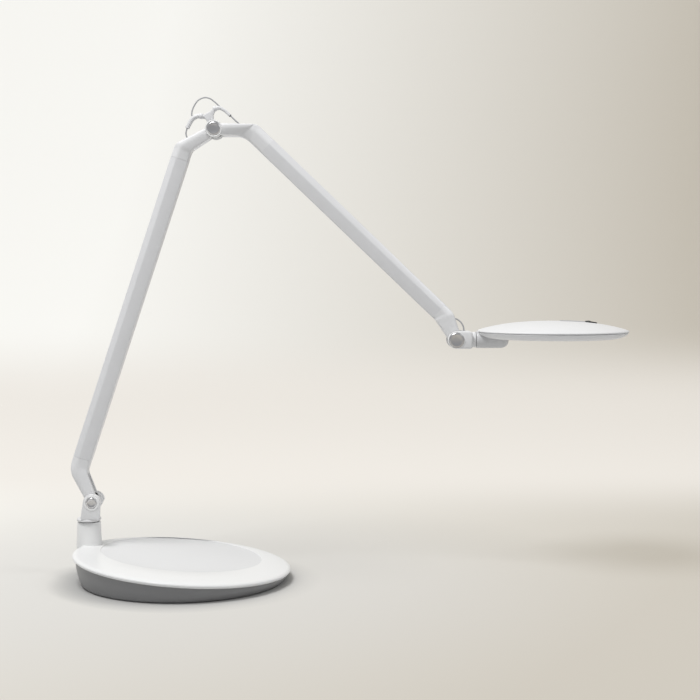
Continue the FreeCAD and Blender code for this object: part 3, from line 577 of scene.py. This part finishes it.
def makeSkirt():
    # tapered wedge skirt: rings drawn from the level foot up to the tilted cover
    sides, rows = base["skirtSides"], base["skirtRows"]
    piece = circlePiece("wedge_skirt", sides)
    tilt = Matrix.Rotation(math.radians(base["tilt"]), 3, "Y")
    centre = Vector(base["centre"])
    inset, rise = base["footEdge"]
    for i in range(rows + 2):
        # the first ring is the underside's edge, the second one the top of its small bevel
        shape, ring = nextRing(piece, i)
        share = max(i - 1, 0) / rows
        for number, v in ring:
            turn = 2 * math.pi * number / sides
            around = Vector((math.cos(turn), math.sin(turn), 0))
            low = around * (base["foot"] - (0.0 if i else inset))
            low.z = base["footZ"] + (rise if i else 0.0)
            high = centre + tilt @ (around * base["skirtTop"] + Vector((0, 0, -base["skirtDrop"])))
            swell = math.sin(share * math.pi) * base["swell"]
            v.co = (low.lerp(high, share) + around * swell) * mm
        bmesh.update_edit_mesh(piece.data)
    endRings(piece)
    finishPiece(piece, "skirtPaint", "base", "grey_skirt", "base_skirt", angle=35)


def makeCoverPlate():
    # enamelled cover with a rounded edge and a shallow off-centre dish
    radius = base["radius"]
    rows = [(radius - inset, height, 0, 0) for inset, height in base["edge"]]
    rows += [(r, h) + base["dish"] for r, h in base["step"]]
    first = rows[0]
    plate = startPiece("cover_plate", bpy.ops.mesh.primitive_circle_add, vertices=160,
                       radius=first[0] * mm, fill_type="NGON", location=(0, 0, first[1] * mm))
    bpy.ops.object.transform_apply(location=True, rotation=False, scale=False)
    bpy.ops.object.mode_set(mode="EDIT")
    for before, here in zip(rows, rows[1:]):
        push(here[2] - before[2], here[3] - before[3], here[1] - before[1])
        share = here[0] / before[0]
        bpy.ops.transform.resize(value=(share, share, 1),
                                 center_override=(here[2] * mm, here[3] * mm, here[1] * mm))
    bpy.ops.object.mode_set(mode="OBJECT")
    plate.rotation_euler = (0, math.radians(base["tilt"]), 0)
    plate.location = Vector(base["centre"]) * mm
    finishPiece(plate, "whiteEnamel", "base", "white_enamel", "base_top_plate", angle=25)
    plate.data.materials.append(finishes["dishEnamel"])
    dish = (Vector(base["centre"]) + Vector(base["dish"] + (0,))) * mm
    for face in plate.data.polygons:
        if face.normal.z > 0.9 and (face.center - dish).xy.length < base["floorReach"] * mm:
            face.material_index = 1


post = {
    # (radius, height) in mm, and the dark washer under the swivel's flange, whose dark plastic also
    # paints the shadow gap there
    "profile": [(11.8, 4.0), (11.9, 20.0), (13.4, 27.0), (13.6, 31.0), (13.1, 40.0),
                (12.8, 50.0), (12.6, 54.6), (12.3, 55.6), (11.4, 56.0)],
    "shadowRing": [(11.2, 55.2), (11.2, 57.4)],
}


def makePost():
    centre = middle("post")
    place = (centre.x, centre.y, 0.0)
    shaft = turned("post_tube", post["profile"], place, sides=72)
    finishPiece(shaft, "whiteEnamel", "base", "white_enamel", "post", angle=30)
    # a real thrust washer; its darkness is also the painted shade of the gap under the flange
    washer = turned("post_washer", post["shadowRing"], place, sides=48)
    finishPiece(washer, "acetal", "base", "bush_plastic", "thrust_washer")


clevis = {
    # ears: radius at the pin, half width and shift of the foot, and how far down it is, mm
    "hub": 9.3, "rise": 17.8, "inner": 10.6, "outer": 14.6, "bevel": 0.9,
    "near": (10.2, -1.6), "far": (4.6, -4.8),
    # flange: an oval of this radius, stretched by so much to either side
    "flange": 12.5, "stretch": 2.4, "thick": 3.0, "flangeZ": 57.0, "flangeBevel": 1.1,
    "shaft": [(4.95, -25.0), (4.95, 1.0)],
}


def clevisEar(side, foot, shift):
    hub, rise = clevis["hub"], clevis["rise"]
    outline = [(foot + shift, -rise), ((hub * 1.02 + foot + shift) / 2, -rise * 0.45)]
    outline += [(hub * math.cos(math.radians(a)), hub * math.sin(math.radians(a)))
                for a in range(0, 181, 9)]
    outline += [((-hub * 1.06 - foot + shift) / 2, -rise * 0.45), (-foot + shift, -rise)]
    low, high = sorted((side * clevis["inner"], side * clevis["outer"]))
    return cutPlate("clevis_ear", outline, shoulder, low, high, clevis["bevel"])


def makeClevis():
    # die-cast swivel head: an oval flange with two arched ears
    ears = [clevisEar(1, *clevis["far"]), clevisEar(-1, *clevis["near"])]
    centre = middle("post")
    centre.z = clevis["flangeZ"] * mm
    oval = []
    for a in range(0, 360, 6):
        across = math.sin(math.radians(a))
        oval.append((clevis["flange"] * math.cos(math.radians(a)),
                     clevis["flange"] * across + math.copysign(clevis["stretch"], across)))
    flange = outlinePiece("flange", oval, lambda x, y: centre + Vector((x, y, 0)) * mm)
    push(0, 0, clevis["thick"])
    bpy.ops.object.mode_set(mode="OBJECT")
    roundEdges(flange, clevis["flangeBevel"], 4)
    shaft = turned("swivel_shaft", clevis["shaft"], centre, sides=32)
    applyPlace(flange, shaft, *ears)
    whole = joined("swivel_head", [flange, shaft] + ears)
    finishPiece(whole, "castingPaint", "swivel", "white_casting", "swivel_clevis", angle=35)


disc = {
    "centre": (392.6, 36.0, 261.4),
    # cover from the lip inwards, (radius, height) in mm
    "cover": [(78.6, -1.3), (79.6, -1.25), (80.2, -0.95), (80.45, -0.45), (80.3, 0.1),
              (79.6, 0.75), (78.0, 1.45), (75.0, 2.4), (70.0, 3.75), (63.0, 5.35), (55.0, 6.85),
              (46.0, 8.2), (36.0, 9.3), (26.0, 10.05), (16.0, 10.5), (7.0, 10.68), (2.0, 10.7)],
    "ring": [(58.3, -7.4), (58.5, -8.2), (59.0, -8.5), (61.0, -8.5), (65.0, -8.2), (69.0, -7.6),
             (73.0, -6.6), (76.5, -5.1), (78.8, -3.4), (79.9, -2.0), (79.7, -1.6), (78.4, -1.5)],
    "opalThick": 1.2, "opal": [(58.1, -8.05), (56.0, -8.12), (30.0, -8.2), (8.0, -8.22)],
}


def makeDisc():
    # moulded shells: low domed cover over a bowl ring, a fine shadow gap between them
    place = Vector(disc["centre"]) * mm
    cover = turned("disc_cover", disc["cover"], place, sides=144)
    finishPiece(cover, "discShell", "head", "white_shell", "head_cover", angle=30)
    ring = turned("disc_bowl", disc["ring"], place, sides=144)
    bpy.ops.object.mode_set(mode="EDIT")
    pick(ring, "FACE", lambda f: len(f.verts) > 4)
    bpy.ops.mesh.delete(type="FACE")
    bpy.ops.object.mode_set(mode="OBJECT")
    finishPiece(ring, "rimPlastic", "head", "rim_plastic", "head_rim_ring", angle=30)
    opal = turned("opal_window", list(reversed(disc["opal"])), place, sides=96)
    bpy.ops.object.mode_set(mode="EDIT")
    bpy.ops.mesh.select_all(action="SELECT")
    push(0, 0, disc["opalThick"])
    bpy.ops.object.mode_set(mode="OBJECT")
    finishPiece(opal, "opalSheet", "head", "opal_diffuser", "diffuser", angle=30)


control = {
    # mm from the disc's centre; the inlay lies just above the dome, the button is let into it
    "stripX": 8.2, "stripLong": 25.8, "wide": 10.0, "stripThick": 0.7, "stripRise": 0.05,
    "stripBevel": 0.3,
    "buttonX": 41.0, "buttonLong": 13.4, "buttonWide": 9.4, "buttonSunk": 2.2, "slopeReach": 5,
    # rings of the button's top: (rise in mm, share of the size before)
    "buttonDome": [(2.6, 1.0), (0.5, 0.96), (0.35, 0.88), (0.22, 0.72), (0.1, 0.5)],
}


def domeHeight(r):
    rows = sorted(disc["cover"][5:])
    for (r0, h0), (r1, h1) in zip(rows, rows[1:]):
        if r0 <= r <= r1:
            return h0 + (h1 - h0) * (r - r0) / (r1 - r0)
    return rows[0][1]


def stadium(long, wide, count=12):
    half = (long - wide) / 2
    points = []
    for side, start in ((1, -90), (-1, 90)):
        for i in range(count + 1):
            turn = math.radians(start + 180 * i / count)
            points.append((side * half + wide / 2 * math.cos(turn), wide / 2 * math.sin(turn)))
    return points


def makeInlay():
    # pale inlay lying on the dome
    place = Vector(disc["centre"]) * mm
    strip = startPiece("inlay_strip", bpy.ops.mesh.primitive_grid_add, x_subdivisions=16,
                       y_subdivisions=6, size=1.0)
    bpy.ops.object.mode_set(mode="EDIT")
    shape = bmesh.from_edit_mesh(strip.data)
    for v in shape.verts:
        x = control["stripX"] + (v.co.x + 0.5) * control["stripLong"]
        y = v.co.y * control["wide"]
        height = domeHeight(math.hypot(x, y)) + control["stripRise"]
        v.co = place + Vector((x, y, height)) * mm
    bmesh.update_edit_mesh(strip.data)
    bpy.ops.mesh.select_all(action="SELECT")
    push(0, 0, control["stripThick"])
    bpy.ops.object.mode_set(mode="OBJECT")
    roundEdges(strip, control["stripBevel"], 2, 60)
    finishPiece(strip, "stripPlastic", "head", "grey_strip", "control_strip", angle=40)


def makeButton():
    # black oval button beside the inlay, its top domed by rings drawn in
    place = Vector(disc["centre"]) * mm
    x0, reach = control["buttonX"], control["slopeReach"]
    slope = (domeHeight(x0 + reach) - domeHeight(x0 - reach)) / (2 * reach)
    low = domeHeight(x0) - control["buttonSunk"]
    button = outlinePiece("oval_button", stadium(control["buttonLong"], control["buttonWide"]),
                          lambda x, y: place + Vector((x0 + x, y, low + x * slope)) * mm)
    centre = place + Vector((x0, 0, low)) * mm
    for rise, share in control["buttonDome"]:
        push(0, 0, rise)
        bpy.ops.transform.resize(value=(share, share, 1), center_override=tuple(centre))
    bpy.ops.object.mode_set(mode="OBJECT")
    finishPiece(button, "blackPlastic", "button", "black_plastic", "dimmer_button", angle=45)


def armLine(start, end):
    # place of an arm's own frame: x along the arm, z to its upper side
    way = (end - start).normalized()
    up = Vector((-way.z, 0, way.x))
    turn = Matrix((way, Vector((0, 1, 0)), up)).transposed().to_4x4()
    return Matrix.Translation(start) @ turn


def bendRow(start, corner, end, radius, count):
    # two straight runs with an arc between them, as count + 3 points (u, w) in mm
    start, corner, end = (Vector(p) for p in (start, corner, end))
    before, after = (start - corner).normalized(), (end - corner).normalized()
    half = before.angle(after) / 2
    run = radius / math.tan(half)
    centre = corner + (before + after).normalized() * (radius / math.sin(half))
    a, b = corner + before * run, corner + after * run
    row = [start]
    for i in range(count + 1):
        spot = a.lerp(b, i / count)
        row.append(centre + (spot - centre).normalized() * radius)
    return row + [end]


def sweepSections(name, outer, inner, widths, place, bevel):
    # six-sided tube section carried along two edge rows; widths are half the width at the
    # top, the crease and underneath, in mm
    crease = 0.656      # where the crease lies between the under edge and the top edge
    # each corner round the section: which width, which side, share of the way up
    profile = [(0, 1, 1.0), (1, 1, crease), (2, 1, 0.0), (2, -1, 0.0), (1, -1, crease),
               (0, -1, 1.0)]
    piece = circlePiece(name, len(profile))
    for i, (top, low) in enumerate(zip(outer, inner)):
        shape, ring = nextRing(piece, i)
        half = widths[min(i, len(widths) - 1)]
        for number, v in ring:
            which, side, share = profile[number]
            spot = low + (top - low) * share
            v.co = place @ (Vector((spot[0], side * half[which], spot[1])) * mm)
        bmesh.update_edit_mesh(piece.data)
    bpy.ops.mesh.select_all(action="SELECT")
    bpy.ops.mesh.normals_make_consistent(inside=False)
    # only the long edges are rounded, so that the ends stay square
    shape = bmesh.from_edit_mesh(piece.data)
    row = shape.verts.layers.int["row"]
    pick(piece, "EDGE", lambda e: e.verts[0][row] != e.verts[1][row])
    bpy.ops.mesh.bevel(offset=bevel * mm, offset_type="OFFSET", segments=4, affect="EDGES",
                       clamp_overlap=True)
    return endRings(piece)


def cutAway(piece, tool):
    modify(piece, "BOOLEAN", object=tool, operation="DIFFERENCE", solver="EXACT")
    bpy.data.objects.remove(tool, do_unlink=True)


def slotTool(place, reach, half):
    tool = startPiece("slot", bpy.ops.mesh.primitive_cube_add, size=1.0)
    tool.data.transform(place @ Matrix.Translation(Vector((reach / 2 - 10, 0, 0)) * mm)
                        @ Matrix.Diagonal(Vector(((reach + 20) * mm, 2 * half * mm, 0.12, 1))))
    return tool


def hubEars(name, centre, radius, inner, outer):
    made = []
    for side in (-1, 1):
        profile = [(radius - 1.0, inner), (radius, inner), (radius, outer - 0.7),
                   (radius - 0.2, outer - 0.2), (radius - 0.7, outer), (radius - 2.0, outer)]
        made.append(turned(name, profile, centre, (0, side, 0), 56))
    return made


arms = {
    "tubeHalf": 9.6, "lowerOffset": 25.6, "lowerSeam": 41.0, "upperOffset": 26.0, "fall": 2.77,
    "upperSeam": 54.0, "headSeam": 34.0,
    "section": (5.8, 10.0, 7.2),          # half widths at the top, the crease and underneath
    "soft": (8.2, 10.2, 8.4),             # fuller section of a casting's leg
    # upper casting: half widths where its bend starts, and how much wider at shares of the leg
    "bendSections": [(9.9, 11.3, 9.9), (9.2, 10.9, 9.2)],
    "legSteps": [(0.74, 1.9), (0.5, 3.6), (0.3, 4.6)],
    "clear": 13.8, "tipBend": (12, 4, 18),      # room round the yoke; tip's runs and radius
    "tongueSection": (9.6, 10.2, 9.6), "earSection": (14.6, 16.0, 14.6),   # at the hubs
    "tubeBevel": 0.9, "castBevel": 2.6,
    # ear half height at the hub, outer corner, inner corner, and their radii
    "root": (5.6, 24.9, 28.5, 24.0, 12.0), "top": (5.4, 27.7, 29.0, 14.0, 9.0),
    "up": (5.8, 30.6, 28.4, 11.0, 22.0),
    "tongueHub": 8.6, "tongueOut": 10.2, "slotHalf": 4.6, "forkReach": 27.0,
    "tipHalf": 6.4, "elbowHub": 9.1, "earIn": 10.6, "earOut": 16.0, "upReach": 30.0,
}


def crankRows(kind, offset, fall, seam):
    # edge rows of a cranked casting, from its hub out along the leg and then the tube
    ear, outer, inner, outerRound, innerRound = arms[kind]
    slope = math.tan(math.radians(fall))
    up = arms["tubeHalf"] / math.cos(math.radians(fall))

    def edge(u, side):
        return Vector((u, offset - u * slope + side * up))

    leg = (edge(outer, 1) + edge(inner, -1)).normalized()
    normal = Vector((-leg.y, leg.x))
    across = Vector((slope, 1)).normalized() * arms["tubeHalf"]
    end = Vector((seam, offset - seam * slope))
    top = bendRow(normal * ear, edge(outer, 1), end + across, outerRound, 8)
    low = bendRow(normal * -ear, edge(inner, -1), end - across, innerRound, 8)
    return top, low


def castWidths(first):
    # leg widths ease into the tube's section round the bend
    soft, plain = arms["soft"], arms["section"]
    rows = [first]
    for i in range(10):
        share = min(max((i - 2) / 6, 0), 1)
        share = share * share * (3 - 2 * share)
        rows.append(tuple(a + (b - a) * share for a, b in zip(soft, plain)))
    return rows


def lowerCasting(kind, name, node, place, mirrorLength=None):
    top, low = crankRows(kind, arms["lowerOffset"], 0.0, arms["lowerSeam"])
    centre = shoulder if mirrorLength is None else elbow
    if mirrorLength is not None:
        top = [Vector((mirrorLength - p[0], p[1])) for p in top]
        low = [Vector((mirrorLength - p[0], p[1])) for p in low]
    widths = castWidths(arms["tongueSection"])
    piece = sweepSections(name, top, low, widths, place, arms["castBevel"])
    reach = arms["forkReach"]
    tool = slotTool(place, reach, arms["slotHalf"])
    if mirrorLength is not None:
        bpy.data.objects.remove(tool, do_unlink=True)
        tool = slotTool(place @ Matrix.Translation(Vector((mirrorLength - reach + 20, 0, 0)) * mm),
                        reach, arms["slotHalf"])
    cutAway(piece, tool)
    ears = hubEars(name + "_hub", centre, arms["tongueHub"], arms["slotHalf"], arms["tongueOut"])
    applyPlace(piece, *ears)
    whole = joined(name, [piece] + ears)
    finishPiece(whole, "castingPaint", "lower_arm", "white_casting", node, angle=38)


def straightTube(name, node, body, start, end, offset, place):
    # extruded tube with a crease along each side
    half = arms["tubeHalf"]
    top = [Vector((start, offset + half)), Vector((end, offset + half))]
    low = [Vector((start, offset - half)), Vector((end, offset - half))]
    piece = sweepSections(name, top, low, [arms["section"]], place, arms["tubeBevel"])
    finishPiece(piece, "tubePaint", body, "white_tube", node, angle=20)


def makeLowerArm():
    place = armLine(shoulder, elbow)
    length = (elbow - shoulder).length / mm
    lowerCasting("root", "lower_root_cast", "lower_root_casting", place)
    lowerCasting("top", "lower_elbow_cast", "lower_elbow_casting", place, length)
    straightTube("lower_tube_extruded", "lower_tube", "lower_arm", arms["lowerSeam"] + 0.15,
                 length - arms["lowerSeam"] - 0.15, arms["lowerOffset"], place)


def makeUpperArm():
    place = armLine(elbow, headHinge)
    length = (headHinge - elbow).length / mm
    fall, seam, offset = arms["fall"], arms["upperSeam"], arms["upperOffset"]
    top, low = crankRows("up", offset, fall, seam)
    widths = castWidths(arms["earSection"])
    widths[1:3] = arms["bendSections"]
    # the ears narrow evenly along the leg, so more rows are put in on each edge
    bendTop, bendLow = top[1], low[1]
    for share, spread in arms["legSteps"]:
        top.insert(1, top[0].lerp(bendTop, share))
        low.insert(1, low[0].lerp(bendLow, share))
        widths.insert(1, (10.0 + spread, 11.4 + spread, 10.0 + spread))
    piece = sweepSections("upper_elbow_cast", top, low, widths, place, arms["castBevel"])
    cutAway(piece, slotTool(place, arms["upReach"], arms["slotHalf"]))
    clear = turned("clear", [(arms["clear"], -arms["earIn"]), (arms["clear"], arms["earIn"])],
                   elbow, (0, 1, 0), 64)
    cutAway(piece, clear)
    ears = hubEars("elbow_hub", elbow, arms["elbowHub"], arms["earIn"], arms["earOut"])
    applyPlace(piece, *ears)
    whole = joined("upper_elbow_cast", [piece] + ears)
    finishPiece(whole, "castingPaint", "upper_arm", "white_casting", "upper_elbow_casting",
                angle=38)
    slope = math.tan(math.radians(fall))
    tilted = place @ Matrix.Translation(Vector((seam, 0, offset - seam * slope)) * mm) \
        @ Matrix.Rotation(math.radians(fall), 4, "Y")
    run = (length - arms["headSeam"] - seam) / math.cos(math.radians(fall))
    straightTube("upper_tube_extruded", "upper_tube", "upper_arm", 0.0, run, 0.0, tilted)
    # tip: the tube's section narrows as it bends down to the head hinge
    turn = Matrix.Rotation(-math.radians(fall), 2)
    ahead, upward = turn @ Vector((1, 0)), turn @ Vector((0, 1))
    spot = Vector((seam, offset - seam * slope)) + ahead * run
    pin = Vector((length, 0))
    drop = (pin - spot).normalized()
    sideways = Vector((-drop.y, drop.x)) * arms["tipHalf"]
    half = arms["tubeHalf"]
    topRun, lowRun, turnRadius = arms["tipBend"]
    top = bendRow(spot + upward * half, spot + upward * half + ahead * topRun, pin + sideways,
                  turnRadius, 8)
    low = bendRow(spot - upward * half, spot - upward * half + ahead * lowRun, pin - sideways,
                  turnRadius, 8)
    widths = list(reversed(castWidths(arms["tongueSection"])))[:len(top)]
    tip = sweepSections("upper_tip_cast", top, low, widths, place, arms["castBevel"])
    ears = hubEars("tip_hub", headHinge, arms["tongueHub"], 3.9, arms["tongueOut"])
    applyPlace(tip, *ears)
    whole = joined("upper_tip_cast", [tip] + ears)
    finishPiece(whole, "castingPaint", "upper_arm", "white_casting", "upper_head_casting",
                angle=38)


knuckle = {
    # outline about the head hinge, (x, z) in mm; the arm's tongue swings in the slot
    "outline": [(0, -9.1), (13.5, -9.2), (17.0, -8.9), (17.0, 8.6), (13.5, 9.5), (4.0, 9.6)],
    "half": 16.0, "slot": 10.6, "swing": 10.3, "bevel": 2.0, "neck": 8.4, "neckEnd": 21.4,
    # turned barrel from the neck on, (radius, distance from the hinge)
    "barrel": [(7.6, 21.8), (8.6, 21.9), (9.0, 22.4), (9.05, 24.0), (9.05, 47.0), (8.8, 50.0),
               (8.0, 52.6), (6.6, 54.6), (4.6, 56.0), (2.0, 56.7)],
}


def makeKnuckle():
    k = knuckle
    outline = k["outline"] + [(9.2 * math.cos(math.radians(a)), 9.2 * math.sin(math.radians(a)))
                              for a in range(96, 265, 12)]
    block = cutPlate("knuckle_block", outline, headHinge, -k["half"], k["half"], k["bevel"], 4)
    bore = turned("swing", [(k["swing"], -k["slot"]), (k["swing"], k["slot"])], headHinge,
                  (0, 1, 0), 64)
    cutAway(block, bore)
    # room for the arm's tongue, behind the hinge and above it, as (x, z) corners in mm
    for low, high in (((-40, -30), (0, 30)), ((-40, 0), (k["swing"], 30))):
        tool = startPiece("slot", bpy.ops.mesh.primitive_cube_add, size=1.0)
        size = Vector((high[0] - low[0], 2 * k["slot"], high[1] - low[1])) * mm
        centre = headHinge + Vector(((low[0] + high[0]) / 2, 0, (low[1] + high[1]) / 2)) * mm
        tool.data.transform(Matrix.Translation(centre) @ Matrix.Diagonal((*size, 1)))
        cutAway(block, tool)
    neck = turned("neck", [(k["neck"], 15.0), (k["neck"], k["neckEnd"] - 0.4),
                           (k["neck"] - 0.4, k["neckEnd"])], headHinge, (1, 0, 0), 56)
    applyPlace(block, neck)
    whole = joined("head_knuckle_cast", [block, neck])
    finishPiece(whole, "castingPaint", "knuckle", "white_casting", "head_knuckle", angle=38)
    # the barrel's white paint is painted pale grey as the disc's shadow
    barrel = turned("head_barrel_turned", [(3.5, 10.5), (3.5, 21.8)] + k["barrel"], headHinge,
                    (1, 0, 0), 64)
    finishPiece(barrel, "barrelShadePaint", "head", "grey_barrel", "head_barrel", angle=38)


hinges = {
    # where, cap radius, ring radius, half width over the ears in mm, the caps' body
    "shoulder": {"at": shoulder, "cap": 5.7, "ring": 8.0, "half": 14.6, "body": "swivel"},
    "elbow": {"at": elbow, "cap": 7.1, "ring": 8.7, "half": 16.0, "body": "upper_arm"},
    "head": {"at": headHinge, "cap": 8.0, "ring": 8.9, "half": 16.0, "body": "knuckle"},
}


def makeHingeCaps():
    # domed pressed caps, each in a shallow ring on its ear
    for name, hinge in hinges.items():
        cap, ring, half = hinge["cap"], hinge["ring"], hinge["half"]
        made = []
        for side in (-1, 1):
            profile = [(cap, half - 0.3), (cap, half + 0.3), (cap - 0.35, half + 0.75),
                       (cap - 1.0, half + 1.0), (cap - 1.7, half + 1.02),
                       (cap * 0.62, half + 0.72), (cap * 0.4, half + 0.6), (cap * 0.2, half + 0.55)]
            made.append(turned(name + "_cap", profile, hinge["at"], (0, side, 0), 48))
        whole = joined(name + "_cap_pair", made)
        finishPiece(whole, "capMetal", hinge["body"], "grey_cap",
                    name + "_caps", angle=40)
        rings = []
        for side in (-1, 1):
            profile = [(ring, half - 0.25), (ring, half + 0.25), (ring - 0.2, half + 0.55),
                       (ring - 0.6, half + 0.65), (cap + 0.75, half + 0.5),
                       (cap + 0.45, half + 0.1), (cap + 0.4, half - 0.2)]
            rings.append(turned(name + "_ring", profile, hinge["at"], (0, side, 0), 48))
        whole = joined(name + "_cap_rings", rings)
        finishPiece(whole, "whiteEnamel", hinge["body"], "white_enamel", angle=40)


yoke = {
    # from the elbow's centre, mm (x, z)
    "leftHorn": [(-9.6, 13.4), (-14.0, 14.6), (-19.0, 14.5), (-23.6, 11.9), (-26.2, 8.2),
                 (-28.0, 4.8), (-29.5, 2.0)],
    "rightHorn": [(-0.6, 22.2), (3.0, 23.3), (6.4, 22.7), (10.2, 20.6), (13.4, 17.8), (15.9, 15.4)],
    "leftThick": [2.0, 2.5, 2.6, 2.4, 2.3, 2.3], "rightThick": [2.5, 2.2, 1.7, 1.6, 1.6],
    "web": [(-9.4, 5.2), (-8.2, 9.5), (-11.0, 12.2), (-12.6, 14.6), (-10.4, 17.0), (-5.6, 19.4),
            (-2.0, 23.0), (0.8, 24.2), (2.6, 21.8), (0.0, 19.2), (-1.6, 15.5), (-0.8, 10.5),
            (1.6, 5.2)],
    # collars on the horns: horn, place along it, radius and length in mm
    "collars": [("left", 1, 3.1, 4.6), ("right", 0, 2.9, 4.0)],
    "webHalf": 2.3, "hub": 7.6, "hubHalf": 4.2,
}


def onElbow(x, z):
    return elbow + Vector((x, 0, z)) * mm


def onHead(x, z):
    return headHinge + Vector((x, 0, z)) * mm


def makeYoke():
    # moulded cable guide: hub between the fork's ears, a flat web, two hollow horns
    hub = turned("yoke_hub", [(4.2, -yoke["hubHalf"]), (yoke["hub"] - 0.5, -yoke["hubHalf"]),
                              (yoke["hub"], -yoke["hubHalf"] + 0.5),
                              (yoke["hub"], yoke["hubHalf"] - 0.5),
                              (yoke["hub"] - 0.5, yoke["hubHalf"]), (4.2, yoke["hubHalf"])],
                 elbow, (0, 1, 0), 48)
    web = cutPlate("yoke_web", yoke["web"], elbow, -yoke["webHalf"], yoke["webHalf"], 1.2)
    horns = []
    for side in ("left", "right"):
        points = [onElbow(x, z) for x, z in yoke[side + "Horn"]]
        radii = [r * mm for r in yoke[side + "Thick"]]
        horns.append(sweepRound("horn_" + side, points, radii, 24, 6, endRound=0.0006))
    applyPlace(hub, web)
    for side, at, thick, long in yoke["collars"]:
        points = [onElbow(x, z) for x, z in yoke[side + "Horn"]]
        way = (points[at + 1] - points[max(at - 1, 0)]).normalized()
        profile = [(thick * 0.7, -long / 2), (thick * 0.95, -long * 0.35), (thick, 0.0),
                   (thick * 0.95, long * 0.35), (thick * 0.7, long / 2)]
        collar = turned("collar", profile, points[at] + way * 0.0006, way, 28)
        applyPlace(collar)
        horns.append(collar)
    whole = joined("cable_yoke_moulded", [web, hub] + horns)
    finishPiece(whole, "yokeNylon", "yoke", "yoke_plastic", "cable_yoke", angle=45)
    # dark ring at the right horn's open end, where the wire leaves: painted shade of the hole
    before, last = (onElbow(x, z) for x, z in yoke["rightHorn"][-2:])
    way = (last - before).normalized()
    thick = yoke["rightThick"][-1]
    mouth = turned("yoke_horn_mouth_shade", [(thick - 0.35, 0), (thick - 0.1, 0.2),
                                        (thick - 0.1, 0.7), (thick - 0.5, 0.9)],
                   last + way * 0.0001, way, 24)
    finishPiece(mouth, "acetal", "yoke", "bush_plastic", angle=40)


wires = {
    # from the elbow's centre, mm (x, z); the head's run is from the head hinge
    "loop": [(-23.0, 12.6), (-24.6, 16.0), (-24.0, 20.8), (-21.4, 26.6), (-17.4, 31.6),
             (-11.2, 34.2), (-5.2, 33.2), (-0.4, 29.8), (3.4, 26.4), (6.4, 23.4)],
    "lowerStub": [(-29.6, 1.8), (-30.8, -2.4), (-30.6, -5.6), (-29.2, -8.8), (-27.4, -11.4)],
    "upperStub": [(15.2, 16.2), (18.6, 13.0), (22.4, 9.4), (26.4, 6.2)],
    "headRun": [(-6.6, 23.4), (-3.0, 23.2), (1.4, 21.8), (5.4, 18.8), (8.0, 14.6), (9.0, 9.6)],
    "radius": 0.78,
    # which bodies a short run joins, and between which spots it turns from one to the other
    "flex": {"lowerStub": ("lower_arm", "yoke", (-27.8, -10.6), (-30.2, -0.6)),
             "upperStub": ("lower_arm", "upper_arm", (4.0, 26.2), (26.4, 6.2)),
             "headRun": ("upper_arm", "knuckle", (-5.4, 23.4), (8.6, 11.6))},
}


def makeWires():
    # round-jacketed wires in smooth free curves; the short runs are attached to no body
    thick = [wires["radius"] * mm] * 2
    runs = [("loop", "elbow_wire", onElbow), ("lowerStub", "wire_stub_lower", onElbow),
            ("upperStub", "wire_stub_upper", onElbow), ("headRun", "head_wire", onHead)]
    for key, node, where in runs:
        piece = sweepRound(node + "_jacket", [where(x, z) for x, z in wires[key]], thick, 16, 8)
        body = None if key in wires["flex"] else "yoke"
        finishPiece(piece, "wireSheath", body, "wire_sheath", node, angle=60)
        if key in wires["flex"]:
            bodyA, bodyB, start, end = wires["flex"][key]
            tuple(where(*start))
            tuple(where(*end))
            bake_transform(piece)


placeCamera()
makeSweep()
lightScene()
print("camera, sweep and light placed")
dressNodes()
print("nodes dressed")
makeSkirt()
makeCoverPlate()
makePost()
makeClevis()
print("base and swivel made")
makeDisc()
makeInlay()
makeButton()
print("disc and controls made")
makeLowerArm()
makeUpperArm()
makeKnuckle()
print("arms made")
makeHingeCaps()
makeYoke()
makeWires()
print("hinge caps, yoke and wires made")
